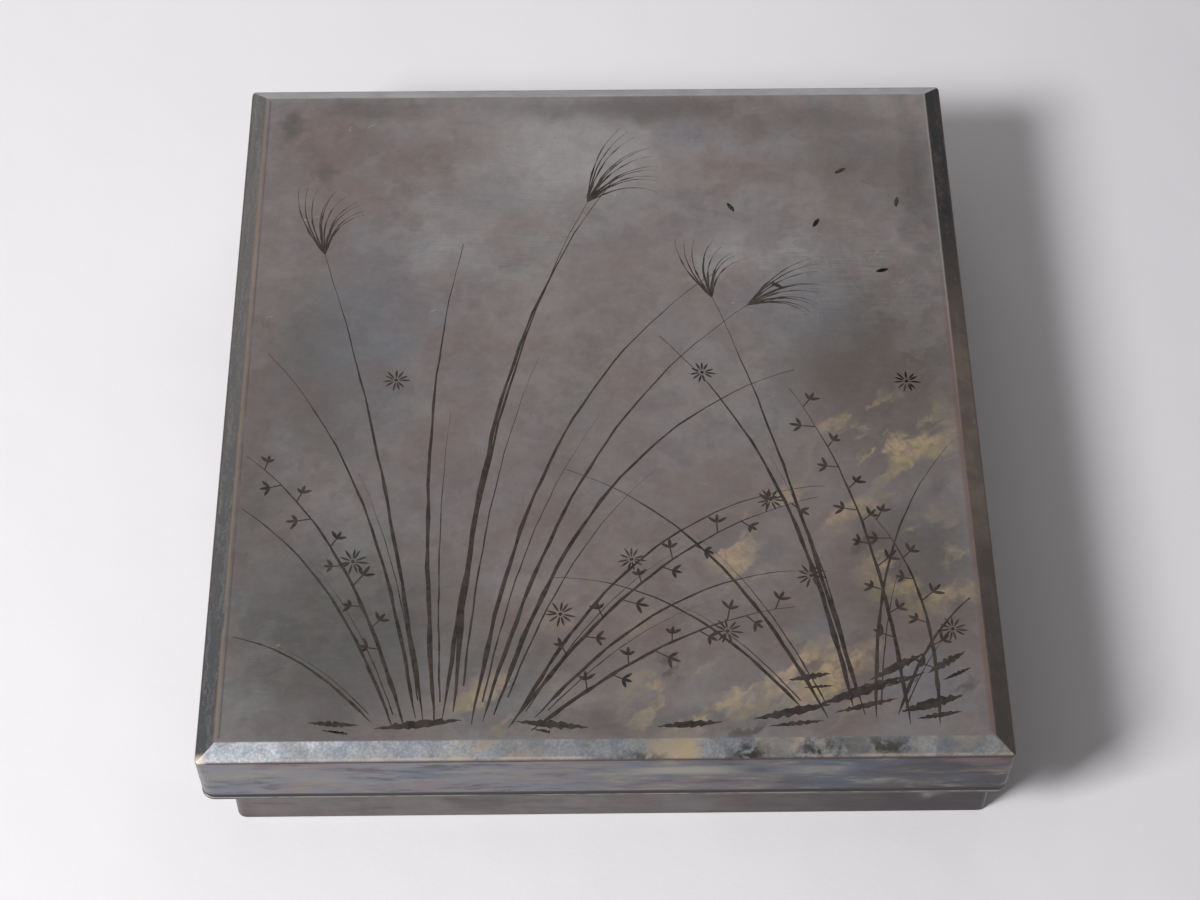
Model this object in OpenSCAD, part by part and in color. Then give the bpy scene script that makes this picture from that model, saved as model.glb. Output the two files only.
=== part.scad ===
// Japanese writing box. A bevelled lid drops over a low base. The base holds an inner board with
// the inkstone and water dropper, and two trays with the brushes, ink stick, paper knife and awl.
// Millimetres, +Z up. The origin is on the ground, below the middle of the lid. -Y is the front.

/* [Box] */
// Width of the lid, left to right
lid_w = 220; // [184:1:270]
// Depth of the lid, front to back
lid_d = 246; // [205:1:300]
// Height of the closed box
box_h = 42; // [35:0.5:56]
// Height of the lid's sides, from the mouth up to the shoulder under the bevel
lid_side_h = 19; // [14:0.5:25]
// Width of the bevel round the top, seen from above
bevel_w = 5.4; // [4.2:0.1:8]
// Drop of the bevel, from the flat top down to the shoulder
bevel_h = 2.8; // [1.5:0.1:3.4]
// Thickness of the lid's side walls
lid_wall = 2.8; // [2.2:0.1:3.6]
// Thickness of the base's side walls
base_wall = 3.2; // [2.4:0.1:4]
// Play between the lid's walls and the base, all round when centred
lid_play = 2.4; // [1.8:0.1:3.2]
// What is left of that play on the right, where the base sits nearest to the lid
right_gap = 0.4; // [0.3:0.05:1.8]
// Thickness of the part of the top board that fits inside the lid's walls
plug_t = 1.4; // [1:0.1:3]
// Thickness of the base's floor
floor_t = 3.6; // [2.5:0.1:5]
// Upright corner radius of the lid
lid_corner_r = 1.4; // [1:0.1:2.3]
// Upright corner radius of the base
base_corner_r = 2.6; // [1:0.1:3]

/* [Mouth rims] */
// Height of the metal band on the lid's mouth and of the one on the base's mouth
rim_h = 1; // [0.6:0.1:1.6]
// How far the lid's band stands proud of its walls
rim_proud = 0.2; // [0:0.05:0.4]

/* [Inner board] */
// Thickness of the board on the base's floor
board_t = 4; // [3:0.1:5]
// Running gap round each piece that lifts out
lift_gap = 0.6; // [0.45:0.05:0.9]

/* [Inkstone] */
// Width of the inkstone
stone_w = 78; // [66:1:92]
// Length of the inkstone
stone_l = 134; // [112:1:140]
// Height of the inkstone
stone_h = 17; // [14:0.5:21]
// Plan corner radius of the inkstone
stone_corner_r = 4; // [2:0.5:8]
// Width of the flat edge round the carved part
stone_rim = 4.5; // [3:0.5:7]
// Depth of the grinding land below the edge
land_depth = 1.6; // [1:0.1:3]
// Depth of the ink well below the edge
well_depth = 8; // [5:0.5:10]
// Length of the ink well, along the stone
well_l = 30; // [24:1:36]

/* [Water dropper] */
// Width of the dropper
dropper_w = 50; // [42:1:60]
// Depth of the dropper, front to back
dropper_d = 36; // [30:1:43]
// Height of the dropper
dropper_h = 18; // [15:0.5:21]
// Plan corner radius of the dropper
dropper_corner_r = 6; // [3:0.5:10]
// Thickness of the dropper's sheet
dropper_wall = 1.2; // [1:0.1:1.5]
// Diameter of its air hole and of its spout hole
dropper_hole_d = 2.4; // [1.8:0.1:3]

/* [Trays] */
// Room left between the top of a tray and the lid's ceiling
tray_headroom = 5.8; // [4:0.2:9]
// Thickness of a tray's sides
tray_wall = 2.6; // [2.2:0.1:3.2]
// Thickness of a tray's floor
tray_floor_t = 2.4; // [2:0.1:3]
// Width of the strip kept free beside the inkstone, on each side of it
centre_margin = 9; // [6:0.5:12]
// Height of a tray's rest bars
bar_h = 6; // [5:0.5:7]
// Thickness of a rest bar, along the tray
bar_t = 5; // [4:0.5:7]
// Distance between the two rest bars of a tray, middle to middle
bar_spacing = 60; // [48:1:72]

/* [Writing tools] */
// Diameter of the brush handles
brush_d = 8.6; // [7:0.1:10]
// Diameter of the paper knife's and the awl's handles
tool_d = 8; // [6.8:0.1:9.6]
// Free room between each end of a tool and its tray
tool_end_room = 16; // [12:1:20]
// Length of a brush's hair
hair_l = 34; // [28:1:40]
// Length of the blade and of the spike
blade_l = 58; // [48:1:66]
// Length of the metal collar at the end of a handle
collar_l = 5; // [4:0.5:6]
// Width of the knife's blade
blade_w = 7.4; // [6:0.1:9]
// Thickness of the knife's blade
blade_t = 1.4; // [1:0.1:2]
// Diameter of the spike at its root
spike_d = 3; // [2.4:0.1:3.6]
// How far the ink stick reaches past each rest bar
ink_overhang = 4.5; // [3:0.5:8]
// Width of the ink stick
ink_w = 10; // [8:0.5:12]
// Height of the ink stick
ink_h = 8; // [6:0.5:10]

/* [Hidden] */
$fn = 64;

// Sides of a rectangle, counted anticlockwise from the front as seen from above
FRONT = 0;
RIGHT = 1;
BACK = 2;
LEFT = 3;

// The two trays, by the side of the inkstone they stand on
ON_LEFT = -1;
ON_RIGHT = 1;

// Heights above the ground
shoulder_z = box_h - bevel_h;
land_h = 0.4; // upright edge of the top board, between the shoulder and its joint
seam_z = shoulder_z - land_h;
mouth_z = shoulder_z - lid_side_h;
ceiling_z = seam_z - plug_t;
board_top_z = floor_t + board_t;
over = 1; // how far a cut reaches past the face that it opens

// Plan sizes of the base and its inside
wall_plus_play = lid_wall + lid_play;
base_w = lid_w - 2 * wall_plus_play;
base_d = lid_d - 2 * wall_plus_play;
inner_w = base_w - 2 * base_wall;
inner_d = base_d - 2 * base_wall;
inner_r = 0.4; // inside corner radius of the lid and the base
base_shift = lid_play - right_gap;

// The inkstone and the dropper share the room front to back in equal gaps
centre_gap = (inner_d - stone_l - dropper_d) / 3;
stone_y = -inner_d / 2 + centre_gap + stone_l / 2;
dropper_y = inner_d / 2 - centre_gap - dropper_d / 2;
dropper_floor_t = 1.6;
finger_r = centre_margin - 1; // finger notches in the board, either side of the inkstone

// Plan size and place of a tray, and the room inside it
tray_w = (inner_w - stone_w) / 2 - centre_margin - lift_gap;
tray_l = inner_d - 2 * lift_gap;
tray_x = inner_w / 2 - lift_gap - tray_w / 2;
tray_corner_r = 2;
tray_in_w = tray_w - 2 * tray_wall;
tray_in_l = tray_l - 2 * tray_wall;
tray_floor_z = board_top_z + tray_floor_t;
tray_top_z = ceiling_z - tray_headroom;

// Tools lie along the trays, points to the back, in the notches of the rest bars
tool_l = tray_in_l - 2 * tool_end_room;
tool_start_y = -tool_l / 2;
brush_handle_l = tool_l - hair_l - collar_l;
tool_handle_l = tool_l - blade_l - collar_l;
collar_proud = 0.2; // of its handle, all round
large_hair_d = brush_d - 1;
small_brush_d = brush_d - 1.4;
small_hair_d = small_brush_d - 1.2;
spike_tip_d = 0.6;

// The rest bars of both trays stand under the middle of the knife's and the awl's handles
bars_mid_y = tool_start_y + tool_handle_l / 2;
bar_y = [bars_mid_y - bar_spacing / 2, bars_mid_y + bar_spacing / 2];
bar_lip = 2.2; // wood left below a notch
notch_gap = 0.3; // round a handle, in its notch
ink_gap = 0.4; // each side of the ink stick, in its slot
ink_l = bar_spacing + bar_t + 2 * ink_overhang;

// What lies in each tray, by its width, from left to right
left_tools = [brush_d + 2 * collar_proud, small_brush_d + 2 * collar_proud];
right_tools = [tool_d + 2 * collar_proud, tool_d + 2 * collar_proud, ink_w];

function sum_of(list, count) = count == 0 ? 0 : list[count - 1] + sum_of(list, count - 1);

// Middle of tool number i across its tray, where the tools share the free width in equal gaps
function tool_x(tools, i) =
    let (gap = (tray_in_w - sum_of(tools, len(tools))) / (len(tools) + 1))
    -tray_in_w / 2 + gap * (i + 1) + sum_of(tools, i) + tools[i] / 2;

large_brush_x = tool_x(left_tools, 0);
small_brush_x = tool_x(left_tools, 1);
awl_x = tool_x(right_tools, 0);
knife_x = tool_x(right_tools, 1);
ink_x = tool_x(right_tools, 2);

// ---- shared shapes ----

// Rectangle with round corners, centred on the origin
module rounded_rect(w, d, r) {
    square([w - 2 * r, d], center = true);
    square([w, d - 2 * r], center = true);
    for (x = [-1, 1], y = [-1, 1])
        translate([x * (w / 2 - r), y * (d / 2 - r)])
            circle(r);
}

// Frame of one wall thickness, seen from above
module frame_outline(w, d, wall, outer_r) {
    difference() {
        rounded_rect(w, d, outer_r);
        rounded_rect(w - 2 * wall, d - 2 * wall, inner_r);
    }
}

// The part of a plan that belongs to one side, out to 45 degree mitres through the corners
module mitre_sector(w, d, side, reach) {
    along = side % 2 == 0 ? w / 2 : d / 2;
    out = side % 2 == 0 ? d / 2 : w / 2;
    rotate(90 * side)
        polygon([
            [-along - over, -out - over],
            [along + over, -out - over],
            [along - reach, -out + reach],
            [-along + reach, -out + reach]
        ]);
}

// One mitred wall of a box, from z = low to z = high
module box_wall(w, d, wall, outer_r, side, low, high) {
    translate([0, 0, low])
        linear_extrude(high - low)
            intersection() {
                frame_outline(w, d, wall, outer_r);
                mitre_sector(w, d, side, wall + inner_r + 2);
            }
}

// Bar along Y with the bevelled top's cross section for a top of width w
module bevelled_bar(w, length) {
    rotate([90, 0, 0])
        linear_extrude(length + 2 * over, center = true)
            polygon([
                [-w / 2, seam_z - over],
                [w / 2, seam_z - over],
                [w / 2, shoulder_z],
                [w / 2 - bevel_w, box_h],
                [-w / 2 + bevel_w, box_h],
                [-w / 2, shoulder_z]
            ]);
}

// ---- lid ----

module lid_top_board() {
    color("dimgray") {
        intersection() {
            translate([0, 0, seam_z])
                linear_extrude(box_h - seam_z)
                    rounded_rect(lid_w, lid_d, lid_corner_r);
            bevelled_bar(lid_w, lid_d);
            rotate(90)
                bevelled_bar(lid_d, lid_w);
        }
        // the part that fits inside the walls and rests on the base
        translate([0, 0, ceiling_z])
            linear_extrude(plug_t + land_h)
                rounded_rect(lid_w - 2 * lid_wall, lid_d - 2 * lid_wall, inner_r);
    }
}

module lid_side_wall(side) {
    color("slategray")
        box_wall(lid_w, lid_d, lid_wall, lid_corner_r, side, mouth_z + rim_h, seam_z);
}

module lid_mouth_rim() {
    color("silver")
        translate([0, 0, mouth_z])
            linear_extrude(rim_h)
                frame_outline(lid_w + 2 * rim_proud, lid_d + 2 * rim_proud,
                              lid_wall + rim_proud, lid_corner_r + rim_proud);
}

// ---- base; it and all that it holds sit base_shift to the right of the lid ----

module in_base() {
    translate([base_shift, 0, 0])
        children();
}

module base_floor_board() {
    color("dimgray")
        in_base()
            linear_extrude(floor_t)
                rounded_rect(inner_w, inner_d, inner_r);
}

module base_side_wall(side) {
    color("gray")
        in_base()
            box_wall(base_w, base_d, base_wall, base_corner_r, side, 0, ceiling_z - rim_h);
}

module base_mouth_rim() {
    color("silver")
        in_base()
            translate([0, 0, ceiling_z - rim_h])
                linear_extrude(rim_h)
                    frame_outline(base_w, base_d, base_wall, base_corner_r);
}

// ---- inner board, inkstone and water dropper ----

module inner_board() {
    color("saddlebrown")
        in_base()
            translate([0, 0, floor_t])
                linear_extrude(board_t)
                    difference() {
                        rounded_rect(inner_w - 2 * lift_gap, inner_d - 2 * lift_gap, inner_r);
                        translate([0, stone_y])
                            rounded_rect(stone_w + 2 * lift_gap, stone_l + 2 * lift_gap,
                                         stone_corner_r + lift_gap);
                        translate([0, dropper_y])
                            rounded_rect(dropper_w + 2 * lift_gap, dropper_d + 2 * lift_gap,
                                         dropper_corner_r + lift_gap);
                        for (x = [-1, 1])
                            translate([x * stone_w / 2, stone_y])
                                circle(finger_r);
                    }
}

// Lengthwise section of what is carved out of the inkstone: the land slopes into the well
module carving_section() {
    half = stone_l / 2 - stone_rim;
    slope_l = 18;
    steps = 8;
    polygon(concat(
        [[-half, over], [-half, -land_depth]],
        [for (i = [0 : steps])
            let (share = i / steps,
                 fall = (1 - cos(180 * share)) / 2)
            [half - well_l - slope_l * (1 - share),
             -land_depth - (well_depth - land_depth) * fall]],
        [[half, -well_depth], [half, over]]
    ));
}

module inkstone() {
    carved_w = stone_w - 2 * stone_rim;
    carved_l = stone_l - 2 * stone_rim;
    color("darkslategray")
        in_base()
            translate([0, stone_y, floor_t])
                difference() {
                    linear_extrude(stone_h)
                        rounded_rect(stone_w, stone_l, stone_corner_r);
                    intersection() {
                        translate([0, 0, stone_h])
                            rotate([90, 0, 90])
                                linear_extrude(carved_w + 2 * over, center = true)
                                    carving_section();
                        translate([0, 0, stone_h - well_depth - over])
                            linear_extrude(well_depth + 2 * over)
                                rounded_rect(carved_w, carved_l, stone_corner_r);
                    }
                }
}

module dropper_body() {
    color("peru")
        in_base()
            translate([0, dropper_y, floor_t])
                difference() {
                    linear_extrude(dropper_h - dropper_wall)
                        rounded_rect(dropper_w, dropper_d, dropper_corner_r);
                    translate([0, 0, dropper_floor_t])
                        linear_extrude(dropper_h)
                            rounded_rect(dropper_w - 2 * dropper_wall,
                                         dropper_d - 2 * dropper_wall,
                                         dropper_corner_r - dropper_wall);
                }
}

module dropper_top() {
    spout_inset = 9; // from the end of the plate to the spout hole; the air hole is central
    color("peru")
        in_base()
            translate([0, dropper_y, floor_t + dropper_h - dropper_wall])
                difference() {
                    linear_extrude(dropper_wall)
                        rounded_rect(dropper_w, dropper_d, dropper_corner_r);
                    for (x = [0, dropper_w / 2 - spout_inset])
                        translate([x, 0, -over])
                            cylinder(h = dropper_wall + 2 * over, d = dropper_hole_d);
                }
}

// ---- trays ----

module in_tray(tray) {
    in_base()
        translate([tray * tray_x, 0, 0])
            children();
}

module tray_floor(tray) {
    color("sienna")
        in_tray(tray)
            translate([0, 0, board_top_z])
                linear_extrude(tray_floor_t)
                    rounded_rect(tray_w, tray_l, tray_corner_r);
}

module tray_side(tray, side) {
    color("sienna")
        in_tray(tray)
            box_wall(tray_w, tray_l, tray_wall, tray_corner_r, side, tray_floor_z, tray_top_z);
}

// Height of the axis of a tool of diameter d that lies in its notches
function tool_z(d) = tray_floor_z + bar_lip + notch_gap + d / 2;

// What is cut from a rest bar at y for a round handle at x: open at the top, so that it lifts out
module handle_notch(x, y, d) {
    r = d / 2 + notch_gap;
    cut_t = bar_t + 2 * over;
    translate([x, y, tool_z(d)]) {
        rotate([90, 0, 0])
            cylinder(h = cut_t, r = r, center = true);
        translate([-r, -cut_t / 2, 0])
            cube([2 * r, cut_t, bar_h]);
    }
}

module ink_slot(x, y) {
    cut_w = ink_w + 2 * ink_gap;
    cut_t = bar_t + 2 * over;
    translate([x - cut_w / 2, y - cut_t / 2, tray_floor_z + bar_lip])
        cube([cut_w, cut_t, bar_h]);
}

module rest_bar(y) {
    translate([-tray_in_w / 2, y - bar_t / 2, tray_floor_z])
        cube([tray_in_w, bar_t, bar_h]);
}

module left_tray_rest_bars() {
    color("peru")
        in_tray(ON_LEFT)
            for (y = bar_y)
                difference() {
                    rest_bar(y);
                    handle_notch(large_brush_x, y, brush_d);
                    handle_notch(small_brush_x, y, small_brush_d);
                }
}

module right_tray_rest_bars() {
    color("peru")
        in_tray(ON_RIGHT)
            for (y = bar_y)
                difference() {
                    rest_bar(y);
                    handle_notch(awl_x, y, tool_d);
                    handle_notch(knife_x, y, tool_d);
                    ink_slot(ink_x, y);
                }
}

// ---- writing tools; each shape stands on its butt end and is laid along a tray ----

module lay_tool(tray, x, d) {
    in_tray(tray)
        translate([x, tool_start_y, tool_z(d)])
            rotate([-90, 0, 0])
                children();
}

// Round bar with a domed butt end
module handle(d, l) {
    steps = 6;
    dome = 2;
    color("#241812")
        rotate_extrude()
            polygon(concat(
                [for (i = [0 : steps])
                    let (a = 90 * i / steps)
                    [d / 2 * sin(a), dome * (1 - cos(a))]],
                [[d / 2, l], [0, l]]
            ));
}

module collar(d, start) {
    color("goldenrod")
        translate([0, 0, start])
            cylinder(h = collar_l, d = d + 2 * collar_proud);
}

// Brush hair: it swells past the collar and draws in to a fine point
module hair(d) {
    steps = 12;
    swell = 0.16;
    color("tan")
        translate([0, 0, brush_handle_l + collar_l])
            rotate_extrude()
                polygon(concat(
                    [[0, 0]],
                    [for (i = [0 : steps - 1])
                        let (share = i / steps,
                             bulge = 1 + swell * sin(180 * share))
                        [d / 2 * bulge * sqrt(1 - pow(share, 3)), hair_l * share]],
                    [[0, hair_l]]
                ));
}

// Flat blade with a slanting point
module blade() {
    color("lightsteelblue")
        translate([0, 0, tool_handle_l + collar_l])
            rotate([90, 0, 0])
                linear_extrude(blade_t, center = true)
                    polygon([
                        [-blade_w / 2, 0],
                        [blade_w / 2, 0],
                        [blade_w / 2, blade_l],
                        [-blade_w / 2, blade_l - 2 * blade_w]
                    ]);
}

module spike() {
    color("lightsteelblue")
        translate([0, 0, tool_handle_l + collar_l])
            cylinder(h = blade_l, d1 = spike_d, d2 = spike_tip_d);
}

module large_brush() {
    lay_tool(ON_LEFT, large_brush_x, brush_d)
        children();
}

module small_brush() {
    lay_tool(ON_LEFT, small_brush_x, small_brush_d)
        children();
}

module knife() {
    lay_tool(ON_RIGHT, knife_x, tool_d)
        children();
}

module awl() {
    lay_tool(ON_RIGHT, awl_x, tool_d)
        children();
}

module ink_stick() {
    edge_r = 1;
    color("#1c1a1a")
        in_tray(ON_RIGHT)
            translate([ink_x, bars_mid_y, tray_floor_z + bar_lip])
                linear_extrude(ink_h)
                    rounded_rect(ink_w, ink_l, edge_r);
}

lid_top_board();
lid_side_wall(FRONT);  // lid_front_wall
lid_side_wall(RIGHT);  // lid_right_wall
lid_side_wall(BACK);  // lid_back_wall
lid_side_wall(LEFT);  // lid_left_wall
lid_mouth_rim();
base_floor_board();
base_side_wall(FRONT);  // base_front_wall
base_side_wall(RIGHT);  // base_right_wall
base_side_wall(BACK);  // base_back_wall
base_side_wall(LEFT);  // base_left_wall
base_mouth_rim();
inner_board();
inkstone();
dropper_body();
dropper_top();
tray_floor(ON_LEFT);  // left_tray_floor
tray_side(ON_LEFT, FRONT);  // left_tray_front_end
tray_side(ON_LEFT, RIGHT);  // left_tray_right_side
tray_side(ON_LEFT, BACK);  // left_tray_back_end
tray_side(ON_LEFT, LEFT);  // left_tray_left_side
left_tray_rest_bars();
tray_floor(ON_RIGHT);  // right_tray_floor
tray_side(ON_RIGHT, FRONT);  // right_tray_front_end
tray_side(ON_RIGHT, RIGHT);  // right_tray_right_side
tray_side(ON_RIGHT, BACK);  // right_tray_back_end
tray_side(ON_RIGHT, LEFT);  // right_tray_left_side
right_tray_rest_bars();
large_brush() handle(brush_d, brush_handle_l);  // large_brush_handle
large_brush() collar(brush_d, brush_handle_l);  // large_brush_collar
large_brush() hair(large_hair_d);  // large_brush_hair
small_brush() handle(small_brush_d, brush_handle_l);  // small_brush_handle
small_brush() collar(small_brush_d, brush_handle_l);  // small_brush_collar
small_brush() hair(small_hair_d);  // small_brush_hair
knife() handle(tool_d, tool_handle_l);  // knife_handle
knife() collar(tool_d, tool_handle_l);  // knife_collar
knife() blade();  // knife_blade
awl() handle(tool_d, tool_handle_l);  // awl_handle
awl() collar(tool_d, tool_handle_l);  // awl_collar
awl() spike();  // awl_spike
ink_stick();
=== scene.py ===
"""Looks of a Japanese writing box, built round its packed frame.

A silver-ground lacquer box, tarnished to grey and brown: a bevelled lid over a low base. Inside lie
the inkstone, the water dropper and two trays with the brushes, paper knife, awl and ink stick.
Lengths are metres, as in the frame. Patterns are measured in millimetres.
"""

import math

import bmesh
import bpy
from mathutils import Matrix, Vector


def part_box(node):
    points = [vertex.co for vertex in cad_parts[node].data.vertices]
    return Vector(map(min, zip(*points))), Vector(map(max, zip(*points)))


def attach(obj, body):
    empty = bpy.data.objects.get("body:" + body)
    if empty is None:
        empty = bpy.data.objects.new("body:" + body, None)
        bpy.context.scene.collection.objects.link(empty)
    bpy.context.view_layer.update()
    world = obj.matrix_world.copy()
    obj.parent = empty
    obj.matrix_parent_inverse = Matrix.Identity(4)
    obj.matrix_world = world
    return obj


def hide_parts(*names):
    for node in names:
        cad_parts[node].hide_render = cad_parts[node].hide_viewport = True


bl_info = {
    "name": "Japanese Writing Box",
    "version": (1, 0, 0),
    "blender": (4, 5, 0),
    "location": "3D View > Sidebar > Writing Box",
    "description": "Lacquered writing box with inkstone, dropper, trays and tools, on its packed frame",
    "category": "Add Mesh",
}

MM = 0.001
UP = Vector((0, 0, 1))
DOWN = Vector((0, 0, -1))
# a vertex this near a plane lies on it, and vertices this near each other are one
TOUCHING = 0.01 * MM
MERGED = 0.002 * MM

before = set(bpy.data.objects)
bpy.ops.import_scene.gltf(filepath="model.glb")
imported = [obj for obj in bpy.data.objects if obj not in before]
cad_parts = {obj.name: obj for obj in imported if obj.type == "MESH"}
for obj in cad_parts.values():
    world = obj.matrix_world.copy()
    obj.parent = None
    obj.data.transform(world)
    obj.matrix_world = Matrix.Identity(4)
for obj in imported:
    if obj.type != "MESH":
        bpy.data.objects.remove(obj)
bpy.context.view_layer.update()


# ---- places from the frame ----


def span(*nodes):
    """Lowest and highest corner of several CAD nodes together."""
    boxes = [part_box(node) for node in nodes]
    low = Vector(min(box[0][i] for box in boxes) for i in range(3))
    high = Vector(max(box[1][i] for box in boxes) for i in range(3))
    return low, high


def shrunk(low, high, by):
    """The same two corners drawn in by a distance on all four sides."""
    inset = Vector((by, by, 0))
    return low + inset, high - inset


def in_mm(corner):
    """A place in millimetres, as the patterns want it."""
    return tuple(round(value / MM, 4) for value in corner)


LID_WALLS = ("lid_front_wall", "lid_right_wall", "lid_back_wall", "lid_left_wall")
BASE_WALLS = ("base_front_wall", "base_right_wall", "base_back_wall", "base_left_wall")
TRAY_SIDES = ("front_end", "right_side", "back_end", "left_side")
LID_LOW, LID_HIGH = span("lid_top_board", *LID_WALLS)
BASE_LOW, BASE_HIGH = span("base_floor_board", *BASE_WALLS)


def tone(red, green, blue):
    """A colour from everyday values of 0 to 255."""

    def linear(value):
        value /= 255
        return value / 12.92 if value <= 0.04045 else ((value + 0.055) / 1.055) ** 2.4

    return (linear(red), linear(green), linear(blue), 1.0)


# ---- sizes and colours that a user would change ----


def length(name, description, default):
    """A length that a user can set."""
    return bpy.props.FloatProperty(
        name=name, description=description, default=default, min=0, unit="LENGTH", precision=5
    )


def amount(name, description, default):
    """A power or a strength that a user can set."""
    return bpy.props.FloatProperty(name=name, description=description, default=default, min=0)


def colour(name, description, default):
    """A colour that a user can set."""
    return bpy.props.FloatVectorProperty(
        name=name, description=description, default=default, size=4, min=0, max=1, subtype="COLOR"
    )


class StageSettings(bpy.types.PropertyGroup):
    """Camera, floor and lights."""

    camera_place: bpy.props.FloatVectorProperty(
        name="Camera place",
        description="Where the camera stands",
        default=(-0.0067, -0.4836, 0.6743),
        subtype="TRANSLATION",
        unit="LENGTH",
    )
    camera_turn: bpy.props.FloatVectorProperty(
        name="Camera turn",
        description="How the camera is turned from looking straight down",
        default=(math.radians(36.1236), math.radians(-0.0846), math.radians(-0.6685)),
        subtype="EULER",
        unit="ROTATION",
    )
    camera_lens: bpy.props.FloatProperty(
        name="Lens", description="Focal length in millimetres", default=81.45, min=20, max=300
    )
    floor_colour: colour("Floor", "Colour of the paper the box stands on", tone(238, 237, 239))
    key_power: amount("Main light", "Power of the large soft light, in watts", 41.5)
    sky_level: amount("Room light", "Strength of the light from all round", 0.17)
    back_power: amount("Back light", "Power of the weak light behind, in watts", 2.2)


class LidSettings(bpy.types.PropertyGroup):
    """The lid and its raised grasses."""

    bevel_width: length("Bevel width", "Width of the bevel round the top", 5.4 * MM)
    shoulder_drop: length("Shoulder drop", "Drop from the flat top to the shoulder", 2.8 * MM)
    wall: length("Wall", "Thickness of the side walls", 2.8 * MM)
    ceiling: length("Top board", "Thickness of the top at its thickest", 4.6 * MM)
    corner: length("Corner", "Radius of the upright corners at the top", 1.4 * MM)
    mouth_corner: length("Mouth corner", "Radius of the upright corners at the mouth", 3.6 * MM)
    arris: length("Arris", "Rounding of the lacquered arrises", 0.42 * MM)
    relief: length("Relief", "Height of the raised grasses above the ground", 0.16 * MM)
    level: amount("Ground level", "How light the tarnished silver is", 1.06)
    warm_grey: colour("Warm grey", "Tarnished silver ground", tone(126, 121, 119))
    brown: colour("Brown tarnish", "Brown and plum clouds", tone(112, 99, 96))
    blue_grey: colour("Blue-grey tarnish", "Cool clouds", tone(112, 115, 120))
    slate: colour("Slate tarnish", "Darkest, slightly green area", tone(74, 76, 73))
    # partly rubbed silver, partly a painted reflection of the main light on the front bevel
    bright: colour("Bright silver", "Rubbed silver on the front bevel", tone(204, 208, 215))
    ochre: colour("Ochre", "Gold-ochre cloud patches", tone(148, 134, 92))
    grass: colour("Grass lines", "Raised dark lines", tone(30, 26, 25))


class BaseSettings(bpy.types.PropertyGroup):
    """The base, the mouth bands and the lacquer inside."""

    corner: length("Corner", "Radius of the upright corners", 2.6 * MM)
    wall: length("Wall", "Thickness of the side walls", 3.2 * MM)
    floor: length("Floor", "Thickness of the floor", 3.6 * MM)
    inner_corner: length("Inner corner", "Radius of the inside corners", 0.6 * MM)
    grey: colour("Grey", "Tarnished silver ground of the base", tone(120, 115, 114))
    brown: colour("Brown", "Brown clouds on the base", tone(94, 83, 81))
    band: colour("Mouth bands", "Thin tin-like metal", tone(112, 110, 107))
    inner: colour("Inner lacquer", "Dark brown lacquer inside", tone(54, 30, 22))
    flakes: colour("Gold flakes", "Gold sprinkled in the lacquer", tone(205, 160, 88))


class ToolSettings(bpy.types.PropertyGroup):
    """The stone, the dropper, the trays and the tools."""

    stone: colour("Inkstone", "Honed slate", tone(44, 46, 49))
    copper: colour("Dropper", "Copper with brown patina", tone(128, 84, 60))
    lacquer: colour("Black lacquer", "Trays and handles", tone(26, 21, 20))
    collar: colour("Collars", "Thin brass collars", tone(196, 160, 98))
    hair: colour("Brush hair", "Pale animal hair", tone(206, 180, 142))
    steel: colour("Steel", "Ground steel", tone(176, 178, 182))
    ink: colour("Ink", "Pressed soot", tone(28, 28, 30))


# ---- modelling by hand ----


def clear_selection():
    """Back to object mode with nothing selected."""
    if bpy.context.mode != "OBJECT":
        bpy.ops.object.mode_set(mode="OBJECT")
    bpy.ops.object.select_all(action="DESELECT")


def take(obj):
    """Selects one object alone and makes it active."""
    clear_selection()
    obj.select_set(True)
    bpy.context.view_layer.objects.active = obj


class editing:
    """Edit mode on one object, for the length of a with block."""

    def __init__(self, obj):
        self.obj = obj

    def __enter__(self):
        take(self.obj)
        bpy.ops.object.mode_set(mode="EDIT")
        bpy.ops.mesh.select_all(action="SELECT")

    def __exit__(self, *problem):
        bpy.ops.object.mode_set(mode="OBJECT")


def pick(kind, test):
    """In edit mode, selects the vertices, edges or faces that pass the test."""
    bpy.ops.mesh.select_mode(type=kind)
    bpy.ops.mesh.select_all(action="DESELECT")
    edited = bpy.context.edit_object.data
    mesh = bmesh.from_edit_mesh(edited)
    parts = {"VERT": mesh.verts, "EDGE": mesh.edges, "FACE": mesh.faces}[kind]
    found = [part for part in parts if test(part)]
    if not found:
        raise RuntimeError(f"nothing to pick on {edited.name}")
    for part in found:
        part.select_set(True)
    mesh.select_flush_mode()
    bmesh.update_edit_mesh(edited)


def facing(*directions):
    """A test for faces that look one of these ways."""
    return lambda face: any(face.normal.dot(direction) > 0.99 for direction in directions)


def upright(edge):
    """A test for upright edges."""
    run = edge.verts[1].co - edge.verts[0].co
    return abs(run.z) > 0.99 * run.length


def block(name, low, high, corner=0.0, steps=6):
    """A block between two corners, its upright edges rounded."""
    clear_selection()
    low, high = Vector(low), Vector(high)
    bpy.ops.mesh.primitive_cube_add(size=1, location=(low + high) / 2, scale=high - low)
    obj = bpy.context.object
    obj.name = obj.data.name = name
    bpy.ops.object.transform_apply(location=True, rotation=True, scale=True)
    if corner:
        with editing(obj):
            pick("EDGE", upright)
            bpy.ops.mesh.bevel(offset=corner, segments=steps, affect="EDGES", clamp_overlap=False)
    return obj


def open_towards(obj, *directions):
    """Takes away the faces that look these ways."""
    with editing(obj):
        pick("FACE", facing(*directions))
        bpy.ops.mesh.delete(type="FACE")


def joined(outer, inner):
    """Puts an inner surface, turned to face inwards, into the outer one's mesh."""
    with editing(inner):
        bpy.ops.mesh.flip_normals()
    take(outer)
    inner.select_set(True)
    bpy.ops.object.join()
    return outer


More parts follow.
